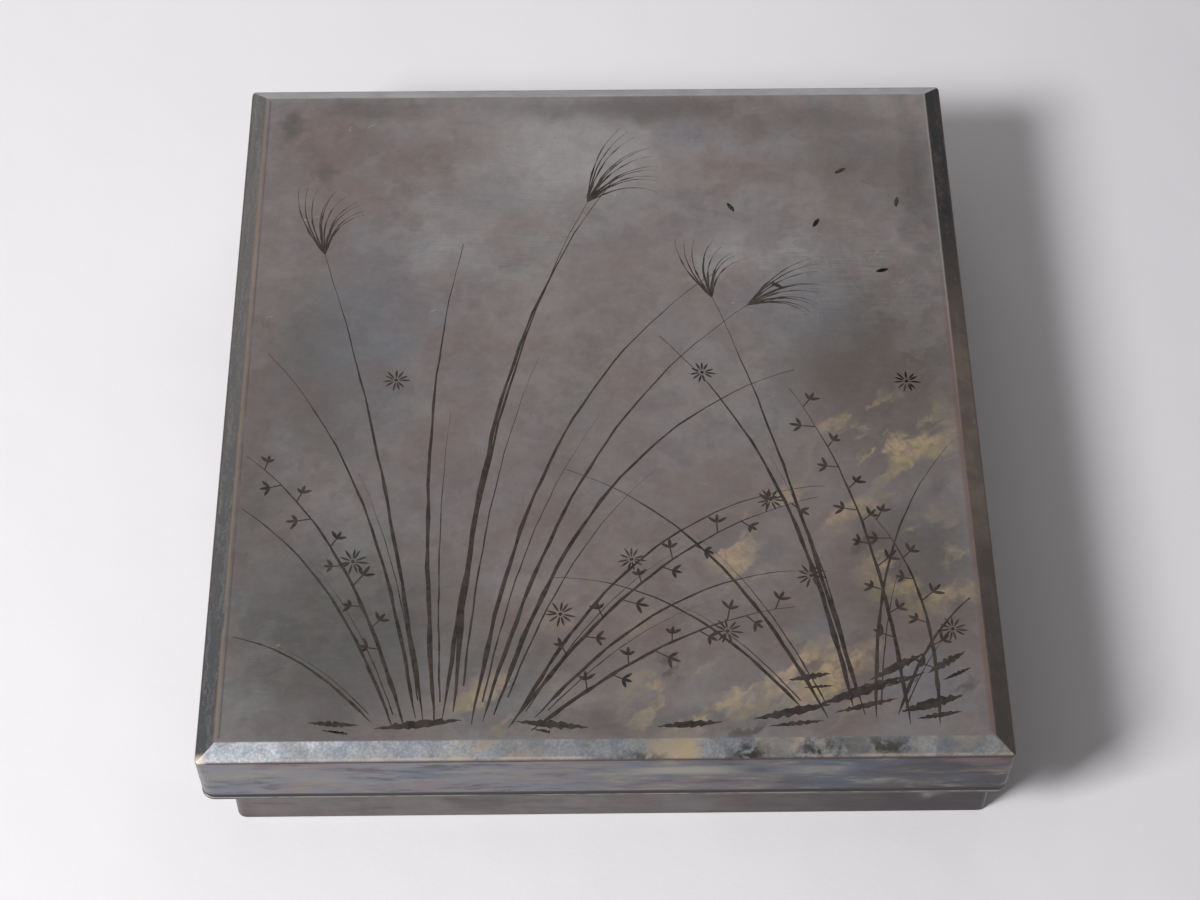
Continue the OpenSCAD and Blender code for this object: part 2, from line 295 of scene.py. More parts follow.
def bridged(obj, *heights):
    """Joins the two open loops at each height with faces."""
    with editing(obj):
        for height in heights:

            def rim(edge, height=height):
                return edge.is_boundary and abs(edge.verts[0].co.z - height) < TOUCHING

            pick("EDGE", rim)
            bpy.ops.mesh.bridge_edge_loops()
        bpy.ops.mesh.select_all(action="SELECT")
        bpy.ops.mesh.normals_make_consistent(inside=False)
    return obj


def tub(name, low, high, corner, wall, floor, inner_corner):
    """A box open at the top."""
    outer = block(name, low, high, corner)
    inner = block(
        name + "_inside",
        low + Vector((wall, wall, floor)),
        high - Vector((wall, wall, 0)),
        inner_corner,
    )
    for part in (outer, inner):
        open_towards(part, UP)
    return bridged(joined(outer, inner), high.z)


def hoop(name, low, high, corner, wall, inner_corner):
    """A four-sided band, open at both ends."""
    outer = block(name, low, high, corner)
    inner = block(name + "_inside", *shrunk(low, high, wall), inner_corner)
    for part in (outer, inner):
        open_towards(part, UP, DOWN)
    return bridged(joined(outer, inner), low.z, high.z)


def apply_modifier(obj, kind, **settings):
    """Adds a modifier with these settings and applies it."""
    take(obj)
    modifier = obj.modifiers.new(kind.title(), kind)
    for key, value in settings.items():
        setattr(modifier, key, value)
    bpy.ops.object.modifier_apply(modifier=modifier.name)


def smooth(obj, angle=None):
    """Smooth shading that keeps flat faces flat, or breaks past an angle in degrees."""
    take(obj)
    if angle is None:
        bpy.ops.object.shade_smooth()
        apply_modifier(
            obj, "WEIGHTED_NORMAL", weight=50, keep_sharp=True, use_face_influence=True
        )
    else:
        bpy.ops.object.shade_smooth_by_angle(angle=math.radians(angle))
    return obj


def refill(obj):
    """Fills the flat top and underside afresh, which keeps faces with holes in them clean."""
    heights = [corner[2] for corner in obj.bound_box]
    with editing(obj):
        for height in (min(heights), max(heights)):

            def level(part, height=height):
                return all(abs(vertex.co.z - height) < TOUCHING for vertex in part.verts)

            pick("FACE", level)
            bpy.ops.mesh.delete(type="FACE")
            pick("EDGE", lambda edge: edge.is_boundary and level(edge))
            bpy.ops.mesh.fill(use_beauty=True)
        bpy.ops.mesh.select_all(action="SELECT")
        bpy.ops.mesh.normals_make_consistent(inside=False)


def soften(obj, width, steps=3, angle=20, clamp=False, refilled=False):
    """Rounds every arris sharper than an angle, as lacquer and handling do."""
    apply_modifier(
        obj,
        "BEVEL",
        width=width,
        segments=steps,
        limit_method="ANGLE",
        angle_limit=math.radians(angle),
        use_clamp_overlap=clamp,
        loop_slide=False,
        face_strength_mode="FSTR_ALL",
    )
    if refilled:
        refill(obj)
    return smooth(obj)


def merged_copy(name, node):
    """A new piece that starts as a CAD node's shape, with its loose triangles merged."""
    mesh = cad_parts[node].data.copy()
    mesh.name = name
    mesh.materials.clear()
    obj = bpy.data.objects.new(name, mesh)
    bpy.context.scene.collection.objects.link(obj)
    take(obj)
    bpy.ops.mesh.customdata_custom_splitnormals_clear()
    with editing(obj):
        bpy.ops.mesh.remove_doubles(threshold=MERGED)
        bpy.ops.mesh.dissolve_limited(angle_limit=math.radians(0.5))
    return obj


def turned(name, start, profile, steps=48):
    """A piece turned on a lathe: it lies towards +Y, and its profile lists (along, radius)."""
    mesh = bpy.data.meshes.new(name)
    points = [start + Vector((0, along, radius)) for along, radius in profile]
    mesh.from_pydata(points, [(i, i + 1) for i in range(len(points) - 1)], [])
    obj = bpy.data.objects.new(name, mesh)
    bpy.context.scene.collection.objects.link(obj)
    with editing(obj):
        bpy.ops.mesh.spin(steps=steps, angle=math.tau, center=start, axis=(0, 1, 0))
        bpy.ops.mesh.select_all(action="SELECT")
        bpy.ops.mesh.remove_doubles(threshold=MERGED)
        bpy.ops.mesh.normals_make_consistent(inside=False)
    return smooth(obj, 32)


def drawn(name, strokes, sides):
    """Tapering strokes as one mesh. A stroke lists (point, half width)."""
    line = bpy.data.curves.new(name, "CURVE")
    line.dimensions = "3D"
    line.twist_mode = "Z_UP"
    line.bevel_depth = 1.0
    line.bevel_resolution = sides
    line.use_fill_caps = True
    for stroke in strokes:
        spline = line.splines.new("POLY")
        spline.points.add(len(stroke) - 1)
        for point, (spot, half_width) in zip(spline.points, stroke):
            point.co = (*spot, 1)
            point.radius = half_width
    obj = bpy.data.objects.new(name, line)
    bpy.context.scene.collection.objects.link(obj)
    take(obj)
    bpy.ops.object.convert(target="MESH")
    return bpy.context.object


def place(obj, body, finishes, replaced=(), finish_of=None):
    """Gives a piece its finishes, and sets it on its body for the CAD nodes it stands for."""
    obj.data.materials.clear()
    for material in finishes:
        obj.data.materials.append(material)
    if finish_of:
        for face in obj.data.polygons:
            face.material_index = finish_of(face)
    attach(obj, body)
    if replaced:
        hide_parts(*replaced)
    return obj


# ---- shader nodes ----


class Net:
    """Adds nodes to a node tree and joins them."""

    def __init__(self, tree):
        self.tree = tree

    def put(self, socket, value):
        """Joins a socket to another, or sets its value."""
        if isinstance(value, bpy.types.NodeSocket):
            self.tree.links.new(value, socket)
        else:
            socket.default_value = value

    def add(self, kind, inputs=None, **settings):
        """A new node with these inputs and settings."""
        node = self.tree.nodes.new("ShaderNode" + kind)
        for key, value in settings.items():
            setattr(node, key, value)
        for key, value in (inputs or {}).items():
            self.put(node.inputs[key], value)
        return node

    def calc(self, operation, *values):
        return self.add("Math", dict(enumerate(values)), operation=operation).outputs[0]

    def times(self, first, *others):
        for other in others:
            first = self.calc("MULTIPLY", first, other)
        return first

    def plus(self, first, second):
        return self.calc("ADD", first, second)

    def minus(self, first, second):
        return self.calc("SUBTRACT", first, second)

    def gap(self, first, second):
        """How far two values are apart."""
        return self.calc("ABSOLUTE", self.minus(first, second))

    def arrow(self, operation, *values):
        """Vector arithmetic. A scale's last value goes to its own socket."""
        inputs = dict(enumerate(values))
        if operation == "SCALE":
            inputs = {0: values[0], "Scale": values[1]}
        node = self.add("VectorMath", inputs, operation=operation)
        return node.outputs["Value" if operation in ("LENGTH", "DOT_PRODUCT") else "Vector"]

    def split(self, position):
        return self.add("SeparateXYZ", {0: position}).outputs

    def spun(self, position, angle):
        """A position turned about Z."""
        inputs = {"Vector": position, "Angle": angle}
        return self.add("VectorRotate", inputs, rotation_type="Z_AXIS").outputs[0]

    def mix(self, share, low, high, blend="MIX"):
        node = self.add("Mix", data_type="RGBA", blend_type=blend)
        for index, value in ((0, share), (6, low), (7, high)):
            self.put(node.inputs[index], value)
        return node.outputs[2]

    def step(self, value, low, high, to_low=0.0, to_high=1.0):
        """A smooth step between two values."""
        inputs = {
            "Value": value,
            "From Min": low,
            "From Max": high,
            "To Min": to_low,
            "To Max": to_high,
        }
        return self.add("MapRange", inputs, interpolation_type="SMOOTHSTEP").outputs[0]

    def noise(self, position, scale, detail=3.0, roughness=0.55, distortion=0.0):
        inputs = {
            "Vector": position,
            "Scale": scale,
            "Detail": detail,
            "Roughness": roughness,
            "Distortion": distortion,
        }
        return self.add("TexNoise", inputs).outputs["Fac"]

    def grain(self, position, scales, detail=3.0, roughness=0.55, distortion=0.0):
        """Noise drawn out by its own scale along each axis."""
        stretched = self.arrow("MULTIPLY", position, scales)
        return self.noise(stretched, 1.0, detail, roughness, distortion)

    def use(self, effect, **inputs):
        """The outputs of one of the shared node groups."""
        node = self.add("Group", node_tree=effects()[effect])
        for key, value in inputs.items():
            self.put(node.inputs[key.replace("_", " ")], value)
        return node.outputs

    def position_mm(self):
        """Where a point is on the object, in millimetres."""
        return self.arrow("SCALE", self.add("TexCoord").outputs["Object"], 1 / MM)


SOCKETS = {"value": "NodeSocketFloat", "vector": "NodeSocketVector"}


def effect(name, inputs, outputs):
    """An empty node group: its inputs list (name, kind, default), its outputs (name, kind)."""
    tree = bpy.data.node_groups.new(name, "ShaderNodeTree")
    for label, kind, default in inputs:
        socket = tree.interface.new_socket(label, in_out="INPUT", socket_type=SOCKETS[kind])
        socket.default_value = default
    for label, kind in outputs:
        tree.interface.new_socket(label, in_out="OUTPUT", socket_type=SOCKETS[kind])
    net = Net(tree)
    source = tree.nodes.new("NodeGroupInput").outputs
    sink = tree.nodes.new("NodeGroupOutput").inputs
    return tree, net, source, sink


def clouds_effect():
    """Soft cloudy mask of one size."""
    tree, net, given, out = effect(
        "Tarnish Clouds",
        [
            ("Position", "vector", (0, 0, 0)),
            ("Size", "value", 20.0),
            ("Softness", "value", 0.2),
            ("Seed", "value", 0.0),
        ],
        [("Mask", "value")],
    )
    moved = net.arrow("ADD", given["Position"], net.arrow("SCALE", (7, 13, 29), given["Seed"]))
    fine = net.noise(moved, net.calc("DIVIDE", 1.0, given["Size"]), 5, 0.6, 0.35)
    low = net.minus(0.5, given["Softness"])
    high = net.plus(0.5, given["Softness"])
    net.put(out["Mask"], net.step(fine, low, high))
    return tree


def ragged_effect():
    """The position, pushed about so that what is drawn with it gets ragged edges."""
    tree, net, given, out = effect(
        "Ragged Position",
        [
            ("Position", "vector", (0, 0, 0)),
            ("Amount", "value", 6.0),
            ("Size", "value", 12.0),
        ],
        [("Position", "vector")],
    )
    scale = net.calc("DIVIDE", 1.0, given["Size"])
    inputs = {"Vector": given["Position"], "Scale": scale, "Detail": 4.0, "Roughness": 0.6}
    pushed = net.add("TexNoise", inputs).outputs["Color"]
    centred = net.arrow("SUBTRACT", pushed, (0.5, 0.5, 0.5))
    shift = net.arrow("SCALE", centred, net.times(given["Amount"], 2.0))
    net.put(out["Position"], net.arrow("ADD", given["Position"], shift))
    return tree


def patch_effect():
    """One soft round patch at a place."""
    tree, net, given, out = effect(
        "Placed Patch",
        [
            ("Position", "vector", (0, 0, 0)),
            ("Centre", "vector", (0, 0, 0)),
            ("Reach", "vector", (10, 10, 10)),
            ("Strength", "value", 1.0),
        ],
        [("Mask", "value")],
    )
    away = net.arrow("SUBTRACT", given["Position"], given["Centre"])
    share = net.arrow("LENGTH", net.arrow("DIVIDE", away, given["Reach"]))
    net.put(out["Mask"], net.times(net.step(share, 0.15, 1.0, 1.0, 0.0), given["Strength"]))
    return tree


def brushed_effect():
    """Fine parallel marks, in a direction given by a turn about Z."""
    tree, net, given, out = effect(
        "Brushed Marks",
        [
            ("Position", "vector", (0, 0, 0)),
            ("Turn", "value", 0.0),
            ("Length", "value", 12.0),
            ("Spacing", "value", 0.3),
        ],
        [("Mask", "value")],
    )
    along = net.calc("DIVIDE", 1.0, given["Length"])
    across = net.calc("DIVIDE", 1.0, given["Spacing"])
    scales = net.add("CombineXYZ", {0: along, 1: across, 2: across}).outputs[0]
    net.put(out["Mask"], net.grain(net.spun(given["Position"], given["Turn"]), scales, 2, 0.6))
    return tree


def arris_effect():
    """Distance to the nearest edge of a box, for a point on its surface."""
    tree, net, given, out = effect(
        "Arris Distance",
        [
            ("Position", "vector", (0, 0, 0)),
            ("Low", "vector", (-10, -10, -10)),
            ("High", "vector", (10, 10, 10)),
        ],
        [("Distance", "value")],
    )
    near = net.arrow(
        "MINIMUM",
        net.arrow("ABSOLUTE", net.arrow("SUBTRACT", given["Position"], given["Low"])),
        net.arrow("ABSOLUTE", net.arrow("SUBTRACT", given["High"], given["Position"])),
    )
    x, y, z = net.split(near)
    lower = net.calc("MINIMUM", x, y)
    upper = net.calc("MAXIMUM", x, y)
    net.put(out["Distance"], net.calc("MAXIMUM", lower, net.calc("MINIMUM", upper, z)))
    return tree


def wear_effect():
    """A worn line along an edge, broken here and there."""
    tree, net, given, out = effect(
        "Worn Line",
        [
            ("Position", "vector", (0, 0, 0)),
            ("Distance", "value", 1.0),
            ("Width", "value", 0.6),
            ("Size", "value", 6.0),
            ("Cover", "value", 0.5),
        ],
        [("Mask", "value")],
    )
    patchy = net.noise(given["Position"], net.calc("DIVIDE", 1.0, given["Size"]), 4, 0.65)
    kept = net.minus(1.0, given["Cover"])
    present = net.step(patchy, kept, net.plus(kept, 0.16))
    near = net.step(given["Distance"], 0.0, given["Width"], 1.0, 0.0)
    net.put(out["Mask"], net.times(near, present))
    return tree


def specks_effect():
    """Small scattered dots: a mask, and a random value for each dot."""
    tree, net, given, out = effect(
        "Scattered Specks",
        [
            ("Position", "vector", (0, 0, 0)),
            ("Spacing", "value", 3.0),
            ("Size", "value", 0.12),
            ("Share", "value", 0.3),
        ],
        [("Mask", "value"), ("Chance", "value")],
    )
    scale = net.calc("DIVIDE", 1.0, given["Spacing"])
    cells = net.add("TexVoronoi", {"Vector": given["Position"], "Scale": scale}).outputs
    chance, second, _ = net.add("SeparateColor", {0: cells["Color"]}).outputs
    dot = net.step(cells["Distance"], net.times(given["Size"], 0.5), given["Size"], 1, 0)
    chosen = net.calc("LESS_THAN", chance, given["Share"])
    net.put(out["Mask"], net.times(dot, chosen))
    net.put(out["Chance"], second)
    return tree


def lid_parts_effect():
    """Which part of the bevelled lid a point is on, and how far it is from the arrises."""
    tree, net, given, out = effect(
        "Lid Parts",
        [
            ("Position", "vector", (0, 0, 0)),
            ("Half Width", "value", 104.6),
            ("Half Depth", "value", 117.6),
            ("Shoulder", "value", 39.2),
        ],
        [
            ("Bevel", "value"),
            ("Side", "value"),
            ("Front", "value"),
            ("Back", "value"),
            ("Left", "value"),
            ("Right", "value"),
            ("Inner Arris", "value"),
            ("Outer Arris", "value"),
        ],
    )
    x, y, z = net.split(given["Position"])
    past_x = net.minus(net.calc("ABSOLUTE", x), given["Half Width"])
    past_y = net.minus(net.calc("ABSOLUTE", y), given["Half Depth"])
    past = net.calc("MAXIMUM", past_x, past_y)
    above = net.step(z, given["Shoulder"], net.plus(given["Shoulder"], 0.2))
    ends = net.step(net.minus(past_y, past_x), -0.12, 0.12)
    sides = net.minus(1.0, ends)
    front = net.calc("LESS_THAN", y, 0.0)
    left = net.calc("LESS_THAN", x, 0.0)
    net.put(out["Bevel"], net.times(above, net.step(past, -0.1, 0.25)))
    net.put(out["Side"], net.minus(1.0, above))
    net.put(out["Front"], net.times(ends, front))
    net.put(out["Back"], net.times(ends, net.minus(1.0, front)))
    net.put(out["Left"], net.times(sides, left))
    net.put(out["Right"], net.times(sides, net.minus(1.0, left)))
    net.put(out["Inner Arris"], past)
    net.put(out["Outer Arris"], net.gap(z, given["Shoulder"]))
    return tree


EFFECTS = {}


def effects():
    """The node groups that the finishes share, made once."""
    if not EFFECTS:
        EFFECTS.update(
            clouds=clouds_effect(),
            ragged=ragged_effect(),
            patch=patch_effect(),
            brushed=brushed_effect(),
            arris=arris_effect(),
            wear=wear_effect(),
            specks=specks_effect(),
            lid_parts=lid_parts_effect(),
        )
    return EFFECTS


def ragged(net, position, amount, size):
    """The position pushed about by up to an amount, in waves of a size."""
    return net.use("ragged", Position=position, Amount=amount, Size=size)["Position"]


def clouds(net, position, size, softness, seed, strength=1.0):
    """Mask of soft clouds of one size."""
    mask = net.use("clouds", Position=position, Size=size, Softness=softness, Seed=seed)["Mask"]
    return mask if strength == 1 else net.times(mask, strength)


def clouded(net, skin, *layers):
    """A colour under clouds: each layer is (position, size, softness, seed, strength, colour)."""
    for *layer, shade in layers:
        skin = net.mix(clouds(net, *layer), skin, shade)
    return skin


def patches(net, position, spots):
    """Soft patches as one mask: each spot is (x, y, reach across, reach along, strength)."""
    total = None
    for x, y, across, along, strength in spots:
        mask = net.use(
            "patch",
            Position=position,
            Centre=(x, y, 0),
            Reach=(across, along, 1000),
            Strength=strength,
        )["Mask"]
        total = mask if total is None else net.calc("MAXIMUM", total, mask)
    return total


def brushed(net, position, turn, run, spacing):
    """Mask of fine parallel marks."""
    return net.use("brushed", Position=position, Turn=turn, Length=run, Spacing=spacing)["Mask"]


def streaked(net, skin, marks, strength):
    """A colour that brush marks make lighter and darker."""
    light = net.mix(marks, tone(160, 160, 160), tone(212, 212, 212))
    return net.mix(strength, skin, net.mix(1.0, skin, light, "OVERLAY"))


def specks(net, position, spacing, size, share):
    """Scattered dots: their mask and their random values."""
    return net.use("specks", Position=position, Spacing=spacing, Size=size, Share=share)


def wear(net, position, distance, width, size, cover):
    """Mask of a broken line where a distance is small."""
    lines = {"Position": position, "Distance": distance, "Width": width, "Size": size}
    return net.use("wear", **lines, Cover=cover)["Mask"]


def worn_arrises(net, position, low, high, width, size, cover):
    """Mask of broken lines along the edges of a box."""
    distance = net.use("arris", Position=position, Low=low, High=high)["Distance"]
    return wear(net, position, distance, width, size, cover)


def finish(name, roughness=0.5, metallic=0.0, **settings):
    """A new material with its shader: returns the material, its net and the shader's inputs."""
    material = bpy.data.materials.get(name) or bpy.data.materials.new(name)
    material.use_nodes = True
    material.node_tree.nodes.clear()
    net = Net(material.node_tree)
    shader = net.add("BsdfPrincipled")
    out = net.add("OutputMaterial")
    net.tree.links.new(shader.outputs[0], out.inputs[0])
    shader.inputs["Roughness"].default_value = roughness
    shader.inputs["Metallic"].default_value = metallic
    for key, value in settings.items():
        shader.inputs[key.replace("_", " ")].default_value = value
    return material, net, shader.inputs


def bump(net, height, depth_mm, below=None):
    """A normal from a height of 0 to 1 that stands for a depth in millimetres."""
    inputs = {"Height": height, "Strength": 1.0, "Distance": depth_mm * MM}
    if below is not None:
        inputs["Normal"] = below
    return net.add("Bump", inputs).outputs[0]


# ---- the lid's finish ----

# soft patches on the lid: x, y, reach across, reach along, strength
PALE_SILVER = (
    (-8, 90, 46, 34, 0.9),
    (-46, 60, 30, 24, 0.5),
    (42, 50, 34, 16, 0.6),
    (-20, 30, 26, 50, 0.3),
)
BROWN_CLOUDS = (
    (-84, 98, 24, 22, 0.85),
    (-58, 92, 22, 14, 0.5),
    (40, 84, 34, 13, 0.6),
    (76, 66, 18, 16, 0.4),
    (-100, 0, 9, 90, 0.6),
    (-6, 10, 42, 60, 0.35),
    (30, 86, 16, 8, 0.3),
    (10, -50, 70, 60, 0.25),
)
DARK_TARNISH = (
    (20, 112, 60, 9, 0.7),
    (66, 106, 40, 12, 0.7),
    (99, 80, 11, 50, 0.85),
    (-66, 112, 26, 7, 0.6),
    (-84, 86, 5, 5, 0.7),
    (-96, 106, 4, 7, 0.8),
    (78, 48, 12, 9, 0.4),
    (84, 8, 46, 60, 0.9),
    (88, -62, 30, 40, 0.8),
    (-80, 10, 36, 60, 0.62),
    (84, 88, 32, 28, 0.6),
    (70, -12, 30, 40, 0.4),
)
WARM_TARNISH = (
    (72, -82, 50, 40, 0.45),
    (10, -88, 50, 32, 0.3),
    (84, -4, 40, 50, 0.35),
    (50, -40, 40, 40, 0.25),
)
COOL_TARNISH = (
    (-66, 24, 26, 50, 0.6),
    (29, 103, 12, 8, 0.7),
    (60, 30, 30, 22, 0.35),
    (-30, 76, 18, 12, 0.4),
    (86, -100, 22, 16, 0.7),
    (60, -84, 16, 8, 0.5),
    (-96, -80, 12, 34, 0.35),
)
SLATE_TARNISH = (
    (-72, -84, 54, 50, 0.8),
    (-100, -46, 18, 40, 0.5),
    (-30, -96, 30, 22, 0.5),
    (10, -112, 80, 8, 0.5),
)
GOLD_CLOUDS = (
    (82, -18, 30, 24, 1.0),
    (92, -62, 28, 24, 0.9),
    (58, -98, 34, 18, 1.0),
    (26, -106, 30, 16, 1.0),
    (-26, -106, 26, 13, 0.8),
    (37, -58, 13, 18, 0.9),
    (64, -42, 30, 14, 0.6),
    (-4, -78, 26, 12, 0.5),
)
PITTED = (
    (16, -96, 12, 7, 1.0),
    (-32, -103, 10, 6, 0.8),
    (62, -92, 16, 7, 1.0),
    (92, -100, 16, 9, 1.0),
    (74, -56, 9, 9, 0.7),
    (98, -40, 5, 12, 0.7),
    (40, -116, 16, 4, 0.8),
)
BEVEL_GOLD = (
    (26, -121, 26, 9, 1.0),
    (62, -121, 20, 9, 0.9),
    (-30, -121, 24, 9, 0.5),
    (92, -121, 10, 9, 0.4),
)
BEVEL_PITS = (
    (38, -122, 9, 5, 1.0),
    (58, -121, 12, 5, 1.0),
    (76, -121, 10, 6, 0.9),
    (8, -123, 14, 3, 0.8),
)
# painted highlights on the lid's front wall: x, y, reach across, reach along, strength
PAINTED_SIDE_GLINTS = ((20, -123, 24, 9, 0.9), (56, -123, 14, 9, 0.4), (-94, -123, 16, 9, 0.4))
BRUSHED_PLACES = (
    (70, 42, 46, 30, 0.6),
    (-30, 60, 50, 50, 0.25),
    (-80, -90, 30, 40, 0.2),
)


class LidFinish:
    """Silver-ground lacquer, tarnished grey, brown and blue, rubbed bright on the front bevel, with
    painted light and shade on the bevels and walls.
    """

    def __init__(self, settings):
        self.settings = settings
        self.material, self.net, self.shader = finish("Tarnished silver ground, lid")
        net = self.net
        self.spot = net.position_mm()
        self.x, self.y, self.z = net.split(self.spot)
        self.parts = net.use("lid_parts", Position=self.spot)
        # the same place pushed about broadly, finely and gently
        self.ragged = ragged(net, self.spot, 7.0, 15.0)
        self.shaky = ragged(net, self.spot, 2.5, 4.0)
        self.calm = ragged(net, self.spot, 2.0, 24.0)
        # slanted streaks for the gold, and thin level ones for the sides
        self.drift = net.grain(net.spun(self.shaky, -0.7), (0.05, 0.12, 0.1), 3, 0.5, 0.3)
        self.thin = net.grain(self.calm, (0.07, 0.07, 0.36), 5, 0.65)
        self.gold = self.gold_mask()

    def made(self):
        """Puts the parts' colours together, then wear, painted shade above the band, brush marks, gloss
        and relief.
        """
        net, parts = self.net, self.parts
        skin = net.mix(parts["Bevel"], self.top(), self.bevels())
        skin = net.mix(parts["Side"], skin, self.sides())
        skin = self.worn(skin)
        # painted shade in the crease just above the mouth band: a dark line on the wall
        above_band = net.plus(self.z, net.times(self.thin, -0.8))
        painted_band_shade = net.step(above_band, 22.2, 22.9, 1.0, 0.0)
        skin = net.mix(net.times(painted_band_shade, 0.95), skin, tone(22, 21, 23))
        marks = brushed(net, self.spot, 0.03, 11.0, 0.55)
        cross = brushed(net, self.ragged, 1.6, 8.0, 0.5)
        weave = net.plus(net.times(marks, 0.65), net.times(cross, 0.35))
        skin = self.rubbed(skin, weave)
        level = (self.settings.level,) * 3 + (1.0,)
        net.put(self.shader["Base Color"], net.mix(1.0, skin, level, "MULTIPLY"))
        self.gloss(weave, painted_band_shade)
        self.relief(weave)
        return self.material

    def gold_mask(self):
        """Where the gold-ochre patches lie: low on the right, drawn out towards the back right."""
        net = self.net
        mask = net.times(patches(net, self.ragged, GOLD_CLOUDS), net.step(self.drift, 0.48, 0.6))
        flecked = clouds(net, self.shaky, 3.0, 0.14, 48.0)
        return net.times(mask, net.plus(0.45, net.times(flecked, 0.55)))

    def top(self):
        """The flat top: clouds of two sizes, then what the photograph shows at each place."""
        net, settings, wide = self.net, self.settings, self.ragged
        ground = clouded(
            net,
            settings.warm_grey,
            (wide, 46.0, 0.2, 2.0, 1.0, settings.brown),
            (wide, 19.0, 0.22, 5.0, 0.5, settings.blue_grey),
        )
        for spots, shade in (
            (PALE_SILVER, tone(141, 139, 138)),
            (BROWN_CLOUDS, tone(111, 97, 92)),
            (DARK_TARNISH, tone(78, 75, 73)),
            (WARM_TARNISH, tone(98, 82, 72)),
            (COOL_TARNISH, tone(106, 109, 115)),
            (SLATE_TARNISH, settings.slate),
        ):
            ground = net.mix(patches(net, wide, spots), ground, shade)
        return self.gilded(self.mottled(ground))

    def mottled(self, ground):
        """Smudges that come and go over the top, and small mottles all over it."""
        net = self.net
        for smudge, area, strength, shade in (
            ((self.ragged, 11.0, 0.1, 33.0), (60.0, 0.2, 35.0), 0.4, tone(104, 88, 84)),
            ((self.shaky, 7.0, 0.08, 37.0), (45.0, 0.15, 39.0), 0.26, tone(82, 80, 80)),
            ((self.shaky, 9.0, 0.1, 43.0), (50.0, 0.15, 45.0), 0.2, tone(140, 136, 134)),
        ):
            mask = net.times(clouds(net, *smudge), clouds(net, self.spot, *area))
            ground = net.mix(net.times(mask, strength), ground, shade)
        for mottle, shade in (
            ((4.5, 0.28, 8.0, 0.22), tone(196, 188, 186)),
            ((1.8, 0.3, 17.0, 0.2), tone(190, 188, 188)),
        ):
            darker = net.mix(1.0, ground, shade, "MULTIPLY")
            ground = net.mix(clouds(net, self.shaky, *mottle), ground, darker)
        return ground

    def gilded(self, ground):
        """Gold-ochre patches, and dark pits among them."""
        net = self.net
        warmer = clouds(net, self.ragged, 12.0, 0.15, 47.0)
        gold_tone = net.mix(warmer, self.settings.ochre, tone(164, 142, 118))
        ground = net.mix(net.times(self.gold, 0.85), ground, gold_tone)
        pits = net.times(patches(net, self.shaky, PITTED), net.step(self.drift, 0.46, 0.38))
        return net.mix(net.times(pits, 0.85), ground, tone(62, 56, 52))

    def bevels(self):
        """The bevels, toned face by face as painted light: bright and mottled in front, pale at the
        back, dark painted shade on the right and towards the front on the left.
        """
        net, shaky, y = self.net, self.shaky, self.y
        # painted sheen: light and dark streaks along the bevels
        lengthwise_sheen = net.grain(shaky, (0.9, 0.03, 0.9), 3, 0.5)
        # left bevel: painted shade, darker to the front, with painted sheen streaks
        left = net.mix(net.step(y, -120.0, 60.0), tone(62, 63, 65), tone(90, 87, 84))
        left = net.mix(net.step(lengthwise_sheen, 0.45, 0.7, 0.0, 0.45), left, tone(112, 112, 111))
        left = net.mix(net.step(lengthwise_sheen, 0.5, 0.3, 0.0, 0.5), left, tone(74, 76, 82))
        # right bevel: painted shade, brown in front and near black towards the back, with a painted
        # sheen streak
        right = net.mix(net.step(y, -90.0, -20.0), tone(62, 57, 54), tone(102, 89, 80))
        right = net.mix(net.step(y, -5.0, 70.0), right, tone(11, 10, 12))
        right = clouded(net, right, (shaky, 9.0, 0.15, 25.0, 0.45, tone(48, 41, 36)))
        right = net.mix(net.step(lengthwise_sheen, 0.5, 0.7, 0.0, 0.22), right, tone(104, 90, 80))
        # back bevel: a pale grey painted reflection, mottled
        back = clouded(
            net, tone(150, 148, 148), (shaky, 12.0, 0.2, 29.0, 1.0, tone(130, 128, 129))
        )
        ends = net.mix(self.parts["Left"], back, left)
        ends = net.mix(self.parts["Front"], ends, self.front_bevel())
        return net.mix(self.parts["Right"], ends, right)

    def front_bevel(self):
        """Rubbed silver with a painted reflection, bright on the left, with blue and ochre mottles,
        gold and pits to the right.
        """
        net, spot, shaky = self.net, self.spot, self.shaky
        # painted reflection: bright silver on the left, grey from the middle, warmer grey to the right
        front = net.mix(net.step(self.x, -84.0, 2.0), self.settings.bright, tone(86, 87, 92))
        front = net.mix(net.step(self.x, 10.0, 95.0), front, tone(96, 93, 88))
        front = clouded(
            net,
            front,
            (self.ragged, 15.0, 0.1, 12.0, 0.5, tone(106, 114, 127)),
            (self.ragged, 9.0, 0.14, 14.0, 0.45, tone(128, 120, 104)),
            (spot, 10.0, 0.12, 16.0, 0.4, tone(92, 100, 112)),
            (spot, 8.0, 0.12, 18.0, 0.35, tone(166, 166, 164)),
            (spot, 3.2, 0.14, 3.0, 0.3, tone(84, 92, 104)),
            (spot, 0.8, 0.1, 6.0, 0.34, tone(70, 72, 78)),
        )
        gold = net.times(patches(net, self.ragged, BEVEL_GOLD), net.step(self.drift, 0.46, 0.56))
        front = net.mix(net.times(gold, 0.8), front, tone(152, 134, 106))
        pits = net.times(patches(net, shaky, BEVEL_PITS), clouds(net, shaky, 3.5, 0.1, 31.0))
        return net.mix(pits, front, tone(40, 37, 35))

